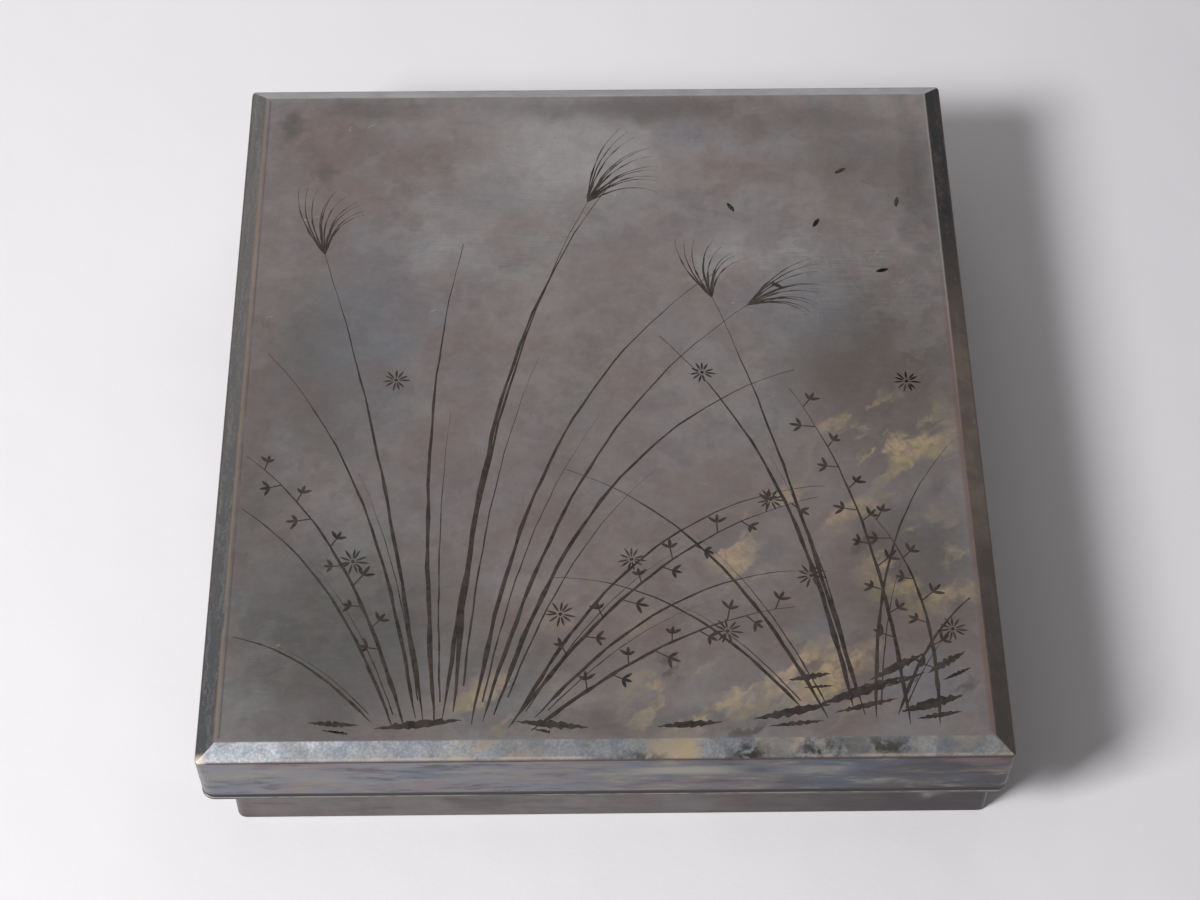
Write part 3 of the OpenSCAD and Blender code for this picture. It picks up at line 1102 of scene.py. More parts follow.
    def sides(self):
        """The side walls: long soft blurs of blue, pink and ochre, strongest in front, over painted
        light: the front wall lighter on the left than on the right, with pale painted highlights.
        """
        net, front = self.net, self.parts["Front"]
        broad = net.grain(self.calm, (0.028, 0.028, 0.12), 3, 0.5)
        # painted light falloff across the front wall: lighter on the left, darker to the right
        painted_front_falloff = net.mix(net.step(self.x, -60.0, 110.0), tone(124, 124, 130), tone(74, 71, 74))
        plain = clouded(
            net, tone(116, 111, 110), (self.ragged, 20.0, 0.2, 57.0, 1.0, tone(92, 84, 83))
        )
        side = net.mix(front, plain, painted_front_falloff)
        contrast = net.plus(0.4, net.times(front, 0.6))
        for blur, faint, full, strength, shade in (
            (broad, 0.5, 0.34, 0.6, tone(90, 98, 112)),
            (broad, 0.5, 0.64, 0.5, tone(120, 104, 107)),
            (self.thin, 0.5, 0.7, 0.75, tone(140, 134, 118)),
            (self.thin, 0.5, 0.32, 0.7, tone(66, 66, 73)),
        ):
            mask = net.times(net.step(blur, faint, full, 0.0, strength), contrast)
            side = net.mix(mask, side, shade)
        # painted highlights: pale patches on the front wall, between 30.5 and 37 mm up
        painted_glints = patches(net, self.calm, PAINTED_SIDE_GLINTS)
        rising = net.step(self.z, 30.5, 33.0)
        falling = net.step(self.z, 34.5, 37.0, 1.0, 0.0)
        return net.mix(net.times(painted_glints, net.times(rising, falling)), side, tone(148, 145, 136))

    def worn(self, skin):
        """Worn lines: brown and grey along the arrises, pale on the corners and at one tip. The pale
        lines and the pale spot on the front left corner are partly rubbed silver, partly painted
        highlight.
        """
        net, parts, inner = self.net, self.parts, self.parts["Inner Arris"]
        on_top = net.minus(1.0, parts["Side"])
        on_left = (on_top, parts["Left"])
        on_right = (on_top, parts["Right"])
        front_half = (*on_right, net.step(self.y, 70.0, 10.0))
        back_half = (*on_right, net.step(self.y, -30.0, 40.0))
        front_tip = (parts["Bevel"], parts["Front"])
        upright = net.calc(
            "MAXIMUM",
            net.gap(net.calc("ABSOLUTE", self.x), LID_HIGH.x / MM),
            net.gap(net.calc("ABSOLUTE", self.y), LID_HIGH.y / MM),
        )
        spread = net.step(self.z, 21.0, 39.0, 1.5, 0.8)
        for distance, width, size, cover, where, strength, shade in (
            (net.gap(inner, 0.1), 0.7, 22.0, 0.7, on_left, 0.6, tone(128, 108, 88)),
            (net.gap(inner, -1.1), 0.5, 30.0, 0.66, on_left, 0.6, tone(74, 64, 58)),
            (net.gap(inner, -0.6), 1.4, 25.0, 0.75, front_half, 0.7, tone(100, 78, 68)),
            # pale line: partly rubbed silver, partly painted highlight
            (net.gap(inner, 0.0), 0.5, 30.0, 0.8, back_half, 0.6, tone(146, 142, 138)),
            (parts["Outer Arris"], 0.4, 30.0, 0.85, (), 0.85, tone(70, 52, 44)),
            # these two pale lines: partly rubbed silver, partly painted highlight
            (net.gap(self.z, 39.6), 0.3, 14.0, 0.6, front_tip, 0.4, tone(180, 166, 152)),
            (upright, spread, 26.0, 0.75, (parts["Side"],), 0.85, tone(190, 186, 182)),
        ):
            line = net.times(wear(net, self.spot, distance, width, size, cover), *where)
            skin = net.mix(net.times(line, strength), skin, shade)
        # pale spot on the front left shoulder corner: partly rubbed silver, partly painted highlight
        corner = patches(net, self.spot, [(-109.4, -122.4, 3.4, 3.0, 1.0)])
        corner = net.times(corner, net.step(self.z, 38.8, 39.4))
        return net.mix(net.times(corner, 0.85), skin, tone(214, 196, 180))

    def rubbed(self, skin, weave):
        """Fine brush marks both ways, strongest at the back right, pale specks and scratches."""
        net = self.net
        strong = clouds(net, self.shaky, 12.0, 0.25, 49.0)
        strong = net.times(strong, net.plus(0.12, patches(net, self.ragged, BRUSHED_PLACES)))
        skin = streaked(net, skin, net.step(weave, 0.35, 0.65), strong)
        dots = specks(net, self.spot, 5.0, 0.03, 0.35)["Mask"]
        skin = net.mix(net.times(dots, 0.55), skin, tone(186, 182, 178))
        scratches = brushed(net, self.ragged, -0.5, 60.0, 1.6)
        return net.mix(net.step(scratches, 0.73, 0.77, 0.0, 0.3), skin, tone(160, 156, 150))

    def gloss(self, weave, painted_band_shade):
        """The silver shines where it is rubbed, and is dull where it is tarnished."""
        net = self.net
        dull = net.plus(net.times(clouds(net, self.ragged, 24.0, 0.25, 41.0), 0.1), 0.36)
        dull = net.plus(dull, net.times(weave, 0.1))
        net.put(self.shader["Roughness"], net.plus(dull, net.times(self.gold, 0.06)))
        metal = net.minus(0.5, net.times(self.gold, 0.15))
        # less metallic under the painted shade above the band
        net.put(self.shader["Metallic"], net.minus(metal, net.times(painted_band_shade, 0.4)))

    def relief(self, weave):
        """Waves, brush marks and pits too fine for the mesh."""
        net = self.net
        normal = bump(net, net.noise(self.spot, 0.11, 2, 0.5), 0.09)
        normal = bump(net, weave, 0.012, normal)
        pits = clouds(net, self.shaky, 1.4, 0.2, 51.0)
        net.put(self.shader["Normal"], bump(net, pits, 0.008, normal))


# ---- the other finishes ----


def base_finish(settings):
    """The same lacquer on the base, browner, with painted shade darkening it towards the right, rubbed
    bright along its right front corner, partly painted highlight.
    """
    material, net, shader = finish("Tarnished silver ground, base")
    low, high = in_mm(BASE_LOW), in_mm(BASE_HIGH)
    spot = net.position_mm()
    wide = ragged(net, spot, 5.0, 10.0)
    calm = ragged(net, spot, 1.5, 24.0)
    x, y, _ = net.split(spot)
    skin = clouded(
        net,
        settings.grey,
        (wide, 20.0, 0.2, 61.0, 1.0, settings.brown),
        (wide, 8.0, 0.2, 64.0, 0.45, tone(96, 94, 98)),
    )
    streak = net.grain(calm, (0.05, 0.05, 0.3), 4, 0.6)
    skin = net.mix(net.step(streak, 0.5, 0.7, 0.0, 0.5), skin, tone(124, 110, 104))
    skin = net.mix(net.step(streak, 0.5, 0.3, 0.0, 0.5), skin, tone(74, 70, 72))
    # painted shade: darker towards the right
    skin = net.mix(net.step(x, 0.0, 90.0, 0.0, 0.75), skin, tone(60, 56, 57))
    near_corner = {"Centre": (92, -118, 12), "Reach": (7, 20, 5), "Strength": 0.8}
    blotch = net.use("patch", Position=wide, **near_corner)["Mask"]
    skin = net.mix(blotch, skin, tone(150, 145, 145))
    # pale broken lines on the upright corners: partly rubbed silver, partly painted highlight
    from_end = net.minus(high[0], net.calc("ABSOLUTE", x))
    from_side = net.minus(high[1], net.calc("ABSOLUTE", y))
    corner = net.calc("MAXIMUM", from_end, from_side)
    line = wear(net, spot, corner, 1.5, 30.0, 0.75)
    skin = net.mix(net.times(line, 0.75), skin, tone(190, 186, 180))
    line = worn_arrises(net, spot, low, high, 0.9, 9.0, 0.55)
    skin = net.mix(net.times(line, 0.5), skin, tone(120, 98, 82))
    marks = brushed(net, spot, 0.0, 18.0, 0.5)
    skin = streaked(net, skin, marks, 0.4)
    dots = specks(net, spot, 4.0, 0.04, 0.3)["Mask"]
    net.put(shader["Base Color"], net.mix(net.times(dots, 0.5), skin, tone(180, 176, 172)))
    dull = net.plus(net.times(clouds(net, wide, 14.0, 0.25, 67.0), 0.12), 0.36)
    net.put(shader["Roughness"], dull)
    net.put(shader["Metallic"], net.minus(0.6, net.times(streak, 0.15)))
    normal = bump(net, net.noise(spot, 0.12, 2), 0.08)
    net.put(shader["Normal"], bump(net, marks, 0.01, normal))
    return material


def grass_finish(settings):
    """Raised dark lacquer lines, rubbed to a dull brown-grey in places."""
    material, net, shader = finish("Raised lacquer lines", roughness=0.6, Specular_IOR_Level=0.2)
    shaky = ragged(net, net.position_mm(), 2.0, 3.0)
    skin = clouded(net, settings.grass, (shaky, 9.0, 0.2, 71.0, 0.7, tone(58, 48, 43)))
    rubbed = clouds(net, shaky, 2.6, 0.08, 74.0)
    skin = net.mix(net.times(rubbed, 0.35), skin, tone(86, 80, 74))
    net.put(shader["Base Color"], skin)
    net.put(shader["Metallic"], net.times(rubbed, 0.3))
    net.put(shader["Normal"], bump(net, clouds(net, shaky, 0.8, 0.2, 77.0), 0.02))
    return material


def band_finish(name, base, low, high, dullness=0.34):
    """Thin metal: dulled in patches, brighter along its arrises."""
    material, net, shader = finish(name, metallic=1.0)
    spot = net.position_mm()
    shaky = ragged(net, spot, 2.0, 5.0)
    dulled = clouds(net, shaky, 7.0, 0.22, 81.0)
    skin = net.mix(net.times(dulled, 0.6), base, tone(104, 98, 92))
    line = worn_arrises(net, spot, low, high, 0.4, 8.0, 0.6)
    net.put(shader["Base Color"], net.mix(net.times(line, 0.4), skin, tone(196, 192, 186)))
    net.put(shader["Roughness"], net.plus(net.times(dulled, 0.18), dullness))
    net.put(shader["Normal"], bump(net, brushed(net, spot, 0.0, 9.0, 0.18), 0.01))
    return material


def inner_finish(settings):
    """Dark brown lacquer with sprinkled gold flakes under a clear coat."""
    material, net, shader = finish(
        "Sprinkled inner lacquer", roughness=0.35, Coat_Weight=0.5, Coat_Roughness=0.14
    )
    spot = net.position_mm()
    wide = ragged(net, spot, 8.0, 20.0)
    dark = net.mix(0.5, settings.inner, tone(34, 20, 16))
    skin = clouded(net, settings.inner, (wide, 40.0, 0.25, 91.0, 1.0, dark))
    share = net.plus(net.times(clouds(net, wide, 34.0, 0.25, 94.0), 0.3), 0.2)
    fine = specks(net, spot, 0.7, 0.3, share)
    large = specks(net, spot, 1.9, 0.2, 0.4)
    bright = net.mix(fine["Chance"], tone(120, 80, 42), settings.flakes)
    skin = net.mix(net.times(fine["Mask"], 0.85), skin, bright)
    net.put(shader["Base Color"], net.mix(large["Mask"], skin, settings.flakes))
    flakes = net.calc("MAXIMUM", fine["Mask"], large["Mask"])
    net.put(shader["Metallic"], net.times(flakes, 0.85))
    net.put(shader["Normal"], bump(net, net.noise(spot, 0.15, 2), 0.05))
    return material


def stone_finish(settings, low, high):
    """Honed slate with fine grain, chalky at its arrises and stained black where ink has been."""
    material, net, shader = finish("Honed slate")
    spot = net.position_mm()
    shaky = ragged(net, spot, 2.0, 6.0)
    z = net.split(spot)[2]
    skin = clouded(net, settings.stone, (shaky, 16.0, 0.25, 101.0, 1.0, tone(56, 58, 62)))
    grain = brushed(net, spot, 1.45, 30.0, 0.7)
    skin = net.mix(net.times(net.step(grain, 0.5, 0.7), 0.4), skin, tone(74, 76, 80))
    line = worn_arrises(net, spot, low, high, 1.1, 5.0, 0.6)
    skin = net.mix(net.times(line, 0.55), skin, tone(104, 106, 108))
    ground = net.step(z, high[2] - 0.8, high[2] - 1.4)
    blots = net.times(clouds(net, shaky, 9.0, 0.15, 104.0), ground)
    inked = net.calc("MAXIMUM", net.step(z, high[2] - 2.0, high[2] - 6.0), blots)
    skin = net.mix(net.times(inked, 0.75), skin, tone(20, 20, 22))
    flecks = specks(net, spot, 2.4, 0.07, 0.4)["Mask"]
    net.put(shader["Base Color"], net.mix(net.times(flecks, 0.35), skin, tone(120, 120, 116)))
    net.put(shader["Roughness"], net.minus(0.58, net.times(inked, 0.22)))
    height = net.plus(net.times(grain, 0.5), clouds(net, shaky, 1.6, 0.3, 107.0, 0.5))
    net.put(shader["Normal"], bump(net, height, 0.03))
    return material


def copper_finish(settings, low, high):
    """Copper with a brown patina, rubbed bright along its arrises."""
    material, net, shader = finish("Patinated copper")
    spot = net.position_mm()
    shaky = ragged(net, spot, 2.0, 5.0)
    skin = clouded(
        net,
        settings.copper,
        (shaky, 11.0, 0.2, 111.0, 1.0, tone(92, 60, 46)),
        (shaky, 5.0, 0.15, 114.0, 0.4, tone(70, 58, 50)),
    )
    line = worn_arrises(net, spot, low, high, 1.1, 7.0, 0.75)
    skin = net.mix(net.times(line, 0.85), skin, tone(206, 140, 104))
    green = specks(net, shaky, 3.5, 0.12, 0.2)["Mask"]
    net.put(shader["Base Color"], net.mix(net.times(green, 0.5), skin, tone(92, 112, 96)))
    net.put(shader["Metallic"], net.minus(0.95, net.times(green, 0.6)))
    net.put(shader["Roughness"], net.minus(0.42, net.times(line, 0.18)))
    dents = net.add("TexVoronoi", {"Vector": spot, "Scale": 0.32}, feature="SMOOTH_F1")
    height = net.plus(net.times(dents.outputs["Distance"], 0.7), net.noise(spot, 0.3))
    net.put(shader["Normal"], bump(net, height, 0.05))
    return material


def lacquer_finish(name, base, low, high):
    """Black lacquer, rubbed through to a brown undercoat along its arrises."""
    material, net, shader = finish(name, Coat_Weight=0.4, Coat_Roughness=0.1)
    spot = net.position_mm()
    shaky = ragged(net, spot, 3.0, 8.0)
    skin = clouded(net, base, (shaky, 24.0, 0.25, 121.0, 1.0, tone(36, 29, 27)))
    line = worn_arrises(net, spot, low, high, 0.7, 10.0, 0.58)
    skin = net.mix(net.times(line, 0.85), skin, tone(96, 52, 34))
    dust = specks(net, spot, 3.0, 0.05, 0.25)["Mask"]
    net.put(shader["Base Color"], net.mix(net.times(dust, 0.3), skin, tone(120, 112, 104)))
    marks = brushed(net, spot, 1.55, 22.0, 0.4)
    net.put(shader["Roughness"], net.plus(net.times(marks, 0.16), 0.2))
    normal = bump(net, net.noise(spot, 0.14, 2), 0.05)
    net.put(shader["Normal"], bump(net, marks, 0.006, normal))
    return material


def gold_edge_finish():
    """Gold dust on the trays' top edges, rubbed thin in places."""
    material, net, shader = finish("Gold dust edge", metallic=0.8)
    spot = net.position_mm()
    shaky = ragged(net, spot, 1.5, 3.0)
    skin = clouded(net, tone(176, 136, 76), (shaky, 6.0, 0.2, 131.0, 1.0, tone(142, 104, 58)))
    thin = clouds(net, shaky, 9.0, 0.1, 134.0)
    net.put(shader["Base Color"], net.mix(net.times(thin, 0.5), skin, tone(60, 40, 28)))
    net.put(shader["Roughness"], net.plus(net.times(thin, 0.15), 0.34))
    net.put(shader["Normal"], bump(net, net.noise(spot, 4.0, 2), 0.02))
    return material


def handle_finish(settings, name, start_y, run):
    """Lacquered wood, with gold rings near the butt and the collar, rubbed where it is held."""
    material, net, shader = finish(name, Coat_Weight=0.3, Coat_Roughness=0.12)
    spot = net.position_mm()
    shaky = ragged(net, spot, 1.5, 4.0)
    y = net.minus(net.split(spot)[1], start_y)
    grain = net.grain(spot, (1.6, 0.05, 1.6))
    skin = clouded(net, settings.lacquer, (shaky, 14.0, 0.25, 171.0, 1.0, tone(44, 31, 26)))
    skin = net.mix(net.step(grain, 0.5, 0.7, 0.0, 0.4), skin, tone(60, 40, 30))
    held = net.times(net.step(y, run * 0.55, run * 0.8), clouds(net, shaky, 9.0, 0.2, 174.0))
    skin = net.mix(net.times(held, 0.5), skin, tone(74, 46, 34))
    rings = None
    for along, width in ((5.3, 0.9), (9.0, 0.25), (run - 3.0, 0.3), (run - 5.0, 0.3)):
        ring = net.step(net.gap(y, along), width, width + 0.15, 1.0, 0.0)
        rings = ring if rings is None else net.calc("MAXIMUM", rings, ring)
    rings = net.times(rings, net.step(net.noise(shaky, 0.4, 3), 0.3, 0.45))
    net.put(shader["Base Color"], net.mix(rings, skin, tone(184, 142, 78)))
    net.put(shader["Metallic"], net.times(rings, 0.85))
    net.put(shader["Roughness"], net.plus(net.times(grain, 0.2), 0.2))
    net.put(shader["Normal"], bump(net, grain, 0.02))
    return material


def hair_finish(settings, root_y, tip_y):
    """Pale hair that darkens to ink towards its point."""
    material, net, shader = finish("Brush hair", roughness=0.55, Sheen_Weight=0.15)
    spot = net.position_mm()
    fine = net.grain(spot, (4, 0.12, 4), 3, 0.6)
    reach = tip_y - root_y
    wavy = net.plus(net.split(spot)[1], net.times(fine, reach * 0.25))
    inked = net.step(wavy, root_y + 0.5 * reach, root_y + 0.95 * reach)
    skin = net.mix(net.step(fine, 0.35, 0.65), settings.hair, tone(168, 134, 96))
    net.put(shader["Base Color"], net.mix(net.times(inked, 0.92), skin, tone(40, 36, 36)))
    net.put(shader["Normal"], bump(net, fine, 0.06))
    return material


def steel_finish(settings, name, forged_y):
    """Ground steel: bright, with grinding marks across it, and dark scale near the collar."""
    material, net, shader = finish(name, metallic=1.0)
    spot = net.position_mm()
    shaky = ragged(net, spot, 1.5, 4.0)
    scale = net.step(net.split(shaky)[1], forged_y + 4.0, forged_y + 9.0, 1.0, 0.0)
    skin = clouded(net, settings.steel, (shaky, 7.0, 0.16, 141.0, 0.35, tone(122, 118, 112)))
    net.put(shader["Base Color"], net.mix(net.times(scale, 0.8), skin, tone(74, 72, 74)))
    marks = brushed(net, spot, 0.0, 5.0, 0.12)
    rough = net.plus(net.times(marks, 0.2), net.times(scale, 0.2))
    net.put(shader["Roughness"], net.plus(rough, 0.18))
    net.put(shader["Normal"], bump(net, marks, 0.008))
    return material


def ink_finish(settings, low, high):
    """Pressed soot: dull black, greyer on its arrises, ground down at one end."""
    material, net, shader = finish("Pressed ink")
    spot = net.position_mm()
    shaky = ragged(net, spot, 1.5, 4.0)
    skin = clouded(net, settings.ink, (shaky, 8.0, 0.2, 151.0, 1.0, tone(40, 40, 44)))
    line = worn_arrises(net, spot, low, high, 0.7, 4.0, 0.6)
    net.put(shader["Base Color"], net.mix(net.times(line, 0.6), skin, tone(84, 84, 90)))
    ground = net.step(net.split(shaky)[1], high[1] - 5.0, high[1] - 2.0)
    net.put(shader["Roughness"], net.minus(0.52, net.times(ground, 0.2)))
    net.put(shader["Normal"], bump(net, clouds(net, shaky, 1.2, 0.3, 154.0), 0.02))
    return material


# ---- the grasses' drawing ----


def wobble(number):
    """A fixed uneven value of -1 to 1 for a number."""
    return math.sin(number * 12.9898) * math.cos(number * 4.1414)


def way(heading):
    """A direction in degrees clockwise from the back, as a vector on the lid's top."""
    return Vector((math.sin(math.radians(heading)), math.cos(math.radians(heading))))


def heading_of(ahead):
    """The direction of a vector on the lid's top, in degrees clockwise from the back."""
    return math.degrees(math.atan2(ahead.x, ahead.y))


def stalk(root, heading, run, bend, width, steps=30):
    """A brushed stroke: it starts at a root, bends by some degrees, and thins to its end."""
    points = []
    spot = Vector(root)
    for i in range(steps + 1):
        share = i / steps
        uneven = 1 + 0.3 * wobble(i + run)
        swell = min(1, 0.2 + 8 * share) * max(0.16, 1 - share**1.6)
        points.append((spot.copy(), width * uneven * swell))
        spot += way(heading + bend * share**1.7 + 3 * wobble(i * 0.3 + heading)) * run / steps
    return points


def leaf(root, heading, run, width, steps=6):
    """A small pointed leaf."""
    points = []
    for i in range(steps + 1):
        share = i / steps
        swell = max(0.15, math.sin(math.pi * (0.06 + 0.9 * share)) ** 0.8)
        points.append((Vector(root) + way(heading) * run * share, width * swell))
    return points


def bank(root, heading, run, width, steps=21):
    """A ragged ground stroke."""
    points = []
    spot = Vector(root)
    for i in range(steps + 1):
        share = i / steps
        swell = math.sin(math.pi * (0.04 + 0.92 * share)) ** 1.2
        points.append((spot.copy(), width * swell * (1 + 0.4 * wobble(i * 0.5 + run))))
        spot += way(heading + 24 * wobble(i * 0.2 + run)) * run / steps
    return points


def blade(root, heading, run, bend, width):
    """A grass blade: a brushed stroke with a thin second line beside its lower part."""
    main = stalk(root, heading, run, bend, width)
    aside = Vector(root) + way(heading + 90) * width * 2.4
    beside = stalk(aside, heading + 1.5, run * 0.62, bend * 0.5, width * 0.4)
    return [main, beside[2:]]


def plume(tip, heading, run, count):
    """The drooping ear of a pampas grass: fine hairs that all bow to one side."""
    hairs = []
    for i in range(count):
        share = i / (count - 1)
        spread = 46 * share - 16 + 5 * wobble(i)
        hair = stalk(tip, heading + spread, run * (1 - 0.3 * share), 40 + 34 * share, 0.3, 14)
        uneven = [1 + 0.5 * wobble(k * 2.3 + i) for k in range(len(hair))]
        hairs.append([(spot, width * more) for (spot, width), more in zip(hair, uneven)])
    return hairs


def clover(root, heading, run, bend, pairs):
    """An arching stem of bush clover, with small leaves in threes."""
    stem = stalk(root, heading, run, bend, 0.6)
    strokes = [stem]
    for i in range(pairs):
        at = 7 + round(21 * i / max(1, pairs - 1))
        here = stem[at][0]
        away = heading_of(stem[at + 1][0] - here)
        side = 1 if i % 2 else -1
        stub = here + way(away + 62 * side) * (3.4 + wobble(i))
        strokes.append([(here, 0.2), (stub, 0.2)])
        for spread in (-54, 0, 54):
            reach = 2.9 + 0.8 * wobble(i + spread)
            strokes.append(leaf(stub, away + 56 * side + spread, reach, 0.52))
    return strokes


def aster(x, y, reach):
    """A wild aster, drawn as fine rays round a dot."""
    centre = Vector((x, y))
    rays = []
    for i in range(11):
        turn = 360 * i / 11 + 9 * wobble(i + x)
        rays.append(leaf(centre + way(turn) * 0.9, turn, reach + 0.4 * wobble(i), 0.34, 4))
    return rays + [leaf(centre - Vector((0.6, 0)), 90, 1.2, 0.6, 4)]


# each plant's root is x, y in millimetres from the middle of the lid's top
BLADES = (
    # x, y, heading, length, bend, half width
    (-57, -114, -20, 100, -44, 0.5),
    (-51, -111, -10, 136, -30, 0.55),
    (-46, -113, -4, 170, 16, 0.7),
    (-41, -109, 3, 200, 30, 0.78),
    (-36, -113, 9, 178, 44, 0.65),
    (-30, -110, 17, 152, 56, 0.7),
    (-25, -113, 27, 124, 62, 0.55),
    (-19, -111, 40, 98, 58, 0.5),
    (-63, -112, -42, 58, -50, 0.45),
    (60, -112, -24, 112, -46, 0.6),
    (67, -109, -9, 140, -34, 0.72),
    (73, -112, 4, 96, 36, 0.55),
    (54, -110, -38, 84, -54, 0.5),
    (79, -111, 22, 60, 46, 0.5),
)
EARS = (
    # x, y, heading, length, bend, length of the ear, hairs
    (-44, -112, 6, 190, 18, 34, 11),
    (-33, -112, 15, 166, 38, 28, 10),
    (-49, -112, -9, 168, -8, 30, 10),
    (70, -111, -11, 150, -8, 26, 9),
)
CLOVERS = (
    # x, y, heading, length, bend, pairs of leaves
    (-26, -114, 34, 118, 44, 12),
    (-20, -115, 50, 84, 34, 9),
    (-54, -114, -16, 112, -38, 11),
    (82, -114, -4, 118, -26, 12),
    (90, -114, 2, 74, -40, 8),
)
ASTERS = (
    # x, y, reach
    (-70, -60, 3.4),
    (-12, -78, 3.2),
    (8, -60, 3.0),
    (34, -84, 3.2),
    (48, -40, 3.0),
    (58, -66, 3.2),
    (96, -84, 3.0),
    (-60, 4, 3.0),
    (30, 6, 2.8),
    (90, 2, 3.0),
)
BANK = (
    # x, y, heading, length, half width
    (40, -112, 78, 22, 1.3),
    (58, -108, 70, 26, 1.6),
    (72, -100, 62, 18, 1.2),
    (80, -110, 74, 18, 1.5),
    (14, -114, 86, 18, 1.0),
    (-62, -114, 84, 24, 1.2),
    (-24, -112, 96, 20, 1.1),
    (-80, -112, 94, 14, 0.8),
    (50, -100, 80, 12, 0.9),
    (88, -98, 58, 13, 1.1),
)
FALLING = (
    # x, y, heading
    (66, 62, 30),
    (84, 44, 75),
    (52, 40, 120),
    (74, 84, 60),
    (40, 72, 150),
    (92, 70, 10),
)


# half the width and depth that the drawing may cover on the flat top
TOP_REACH = Vector((102.5, 115.5))


def on_top(stroke):
    """The first part of a stroke, as far as it stays on the flat top."""
    kept = []
    for point, half_width in stroke:
        if abs(point.x) > TOP_REACH.x or abs(point.y) > TOP_REACH.y:
            break
        kept.append((point, half_width))
    return kept


def grass_strokes():
    """The whole drawing, in millimetres on the lid's top."""
    strokes = []
    for x, y, *rest in BLADES:
        strokes += blade((x, y), *rest)
    for x, y, heading, run, bend, ear, count in EARS:
        stem = stalk((x, y), heading, run, bend, 0.62)
        strokes.append(stem)
        tip = stem[-1][0]
        strokes += plume(tip, heading_of(tip - stem[-2][0]), ear, count)
    for x, y, *rest in CLOVERS:
        strokes += clover((x, y), *rest)
    for spot in ASTERS:
        strokes += aster(*spot)
    for x, y, heading, run, width in BANK:
        strokes.append(bank((x, y), heading, run, width))
        strokes.append(bank((x + 4, y - 2.4), heading + 6, run * 0.7, width * 0.5))
    for x, y, heading in FALLING:
        strokes.append(leaf((x, y), heading, 4.0, 0.7))
    strokes = [on_top(stroke) for stroke in strokes]
    return [stroke for stroke in strokes if len(stroke) > 1]


# ---- operators: one for each piece or group of like pieces ----

# the floor's width and how far it lies below the box, how far the lid's mouth band stands out
# from its walls, and the thickness of the trays' walls
FLOOR_SIZE = 3.6
FLOOR_GAP = 0.05 * MM
BAND_PROUD = 0.2 * MM
TRAY_WALL = 2.6 * MM


class BuildOperator:
    """What the building operators share."""

    bl_options = {"REGISTER", "UNDO"}


class WRITING_BOX_OT_stage(BuildOperator, bpy.types.Operator):
    """Sets the camera, the pale floor and the soft lights"""

    bl_idname = "writing_box.stage"
    bl_label = "Stage"

    def execute(self, context):
        settings = context.scene.writing_box_stage
        context.scene.view_settings.view_transform = "Standard"
        self.camera(context, settings)
        self.floor(settings)
        self.lights(context, settings)
        self.room(context, settings)
        return {"FINISHED"}

    def camera(self, context, settings):
        """The camera that the photograph was taken with."""
        lens = bpy.data.cameras.new("Camera")
        lens.sensor_width = 36
        lens.lens = settings.camera_lens
        lens.clip_start = 0.01
        camera = bpy.data.objects.new("Camera", lens)
        context.scene.collection.objects.link(camera)
        camera.location = settings.camera_place
        camera.rotation_euler = settings.camera_turn
        context.scene.camera = camera

    def floor(self, settings):
        """A large sheet, just below the box."""
        clear_selection()
        bpy.ops.mesh.primitive_plane_add(size=FLOOR_SIZE, location=(0, 0, -FLOOR_GAP))
        floor = bpy.context.object
        floor.name = "Floor"
        bpy.ops.object.transform_apply(location=True, rotation=True, scale=True)
        floor.data.materials.append(self.paper(settings))

    def paper(self, settings):
        """Pale paper, a little greyer towards the right as painted light falloff."""
        material, net, shader = finish("Pale paper", roughness=0.85, Specular_IOR_Level=0.2)
        spot = net.position_mm()
        soft = (spot, 130.0, 0.3, 161.0, 0.25, tone(232, 231, 235))
        paper = clouded(net, settings.floor_colour, soft)
        # painted light falloff: the paper greyer towards the right
        painted_falloff = net.step(net.split(spot)[0], -40.0, 260.0, 0.0, 0.75)
        net.put(shader["Base Color"], net.mix(painted_falloff, paper, tone(218, 217, 222)))
        waves = bump(net, net.noise(spot, 0.02, 2), 0.6)
        net.put(shader["Normal"], bump(net, net.noise(spot, 0.5, 4, 0.6), 0.05, waves))
        return material

    def lights(self, context, settings):
        """A main light from the front left, and a weak one from behind."""

        def panel(name, spot, width, height, power, tint):
            """A soft panel that shines on the middle of the box."""
            lamp = bpy.data.lights.new(name, "AREA")
            lamp.shape = "RECTANGLE"
            lamp.size, lamp.size_y = width, height
            lamp.energy = power
            lamp.color = tint
            obj = bpy.data.objects.new(name, lamp)
            context.scene.collection.objects.link(obj)
            obj.location = spot
            obj.rotation_euler = (-Vector(spot)).to_track_quat("-Z", "Y").to_euler()

        white = (1.0, 1.0, 1.0)
        cream = (1.0, 0.985, 0.975)
        panel("Main light", (-1.26, -0.85, 1.2), 0.55, 0.55, settings.key_power, white)
        panel("Back light", (0.1, 1.0, 0.5), 0.9, 0.4, settings.back_power, cream)

    def room(self, context, settings):
        """Light from all round: brighter overhead and on the left, dark low on the right."""
        world = bpy.data.worlds.new("Room")
        context.scene.world = world
        world.use_nodes = True
        world.node_tree.nodes.clear()
        net = Net(world.node_tree)
        x, _, z = net.split(net.add("TexCoord").outputs["Generated"])
        overhead = net.step(z, 0.1, 0.95, 0.35, 1.5)
        leftward = net.step(x, -0.9, 0.8, 1.25, 0.5)
        level = net.times(overhead, leftward, settings.sky_level)
        level = net.arrow("SCALE", (1.04, 0.985, 0.985), level)
        path = net.add("LightPath").outputs
        seen = net.calc("MAXIMUM", path["Is Glossy Ray"], path["Is Transmission Ray"])
        seen = net.calc("MAXIMUM", path["Is Camera Ray"], seen)
        level = net.mix(seen, level, tone(230, 230, 233))
        background = net.add("Background", {"Color": level, "Strength": 1.0})
        out = net.add("OutputWorld")
        net.tree.links.new(background.outputs[0], out.inputs[0])


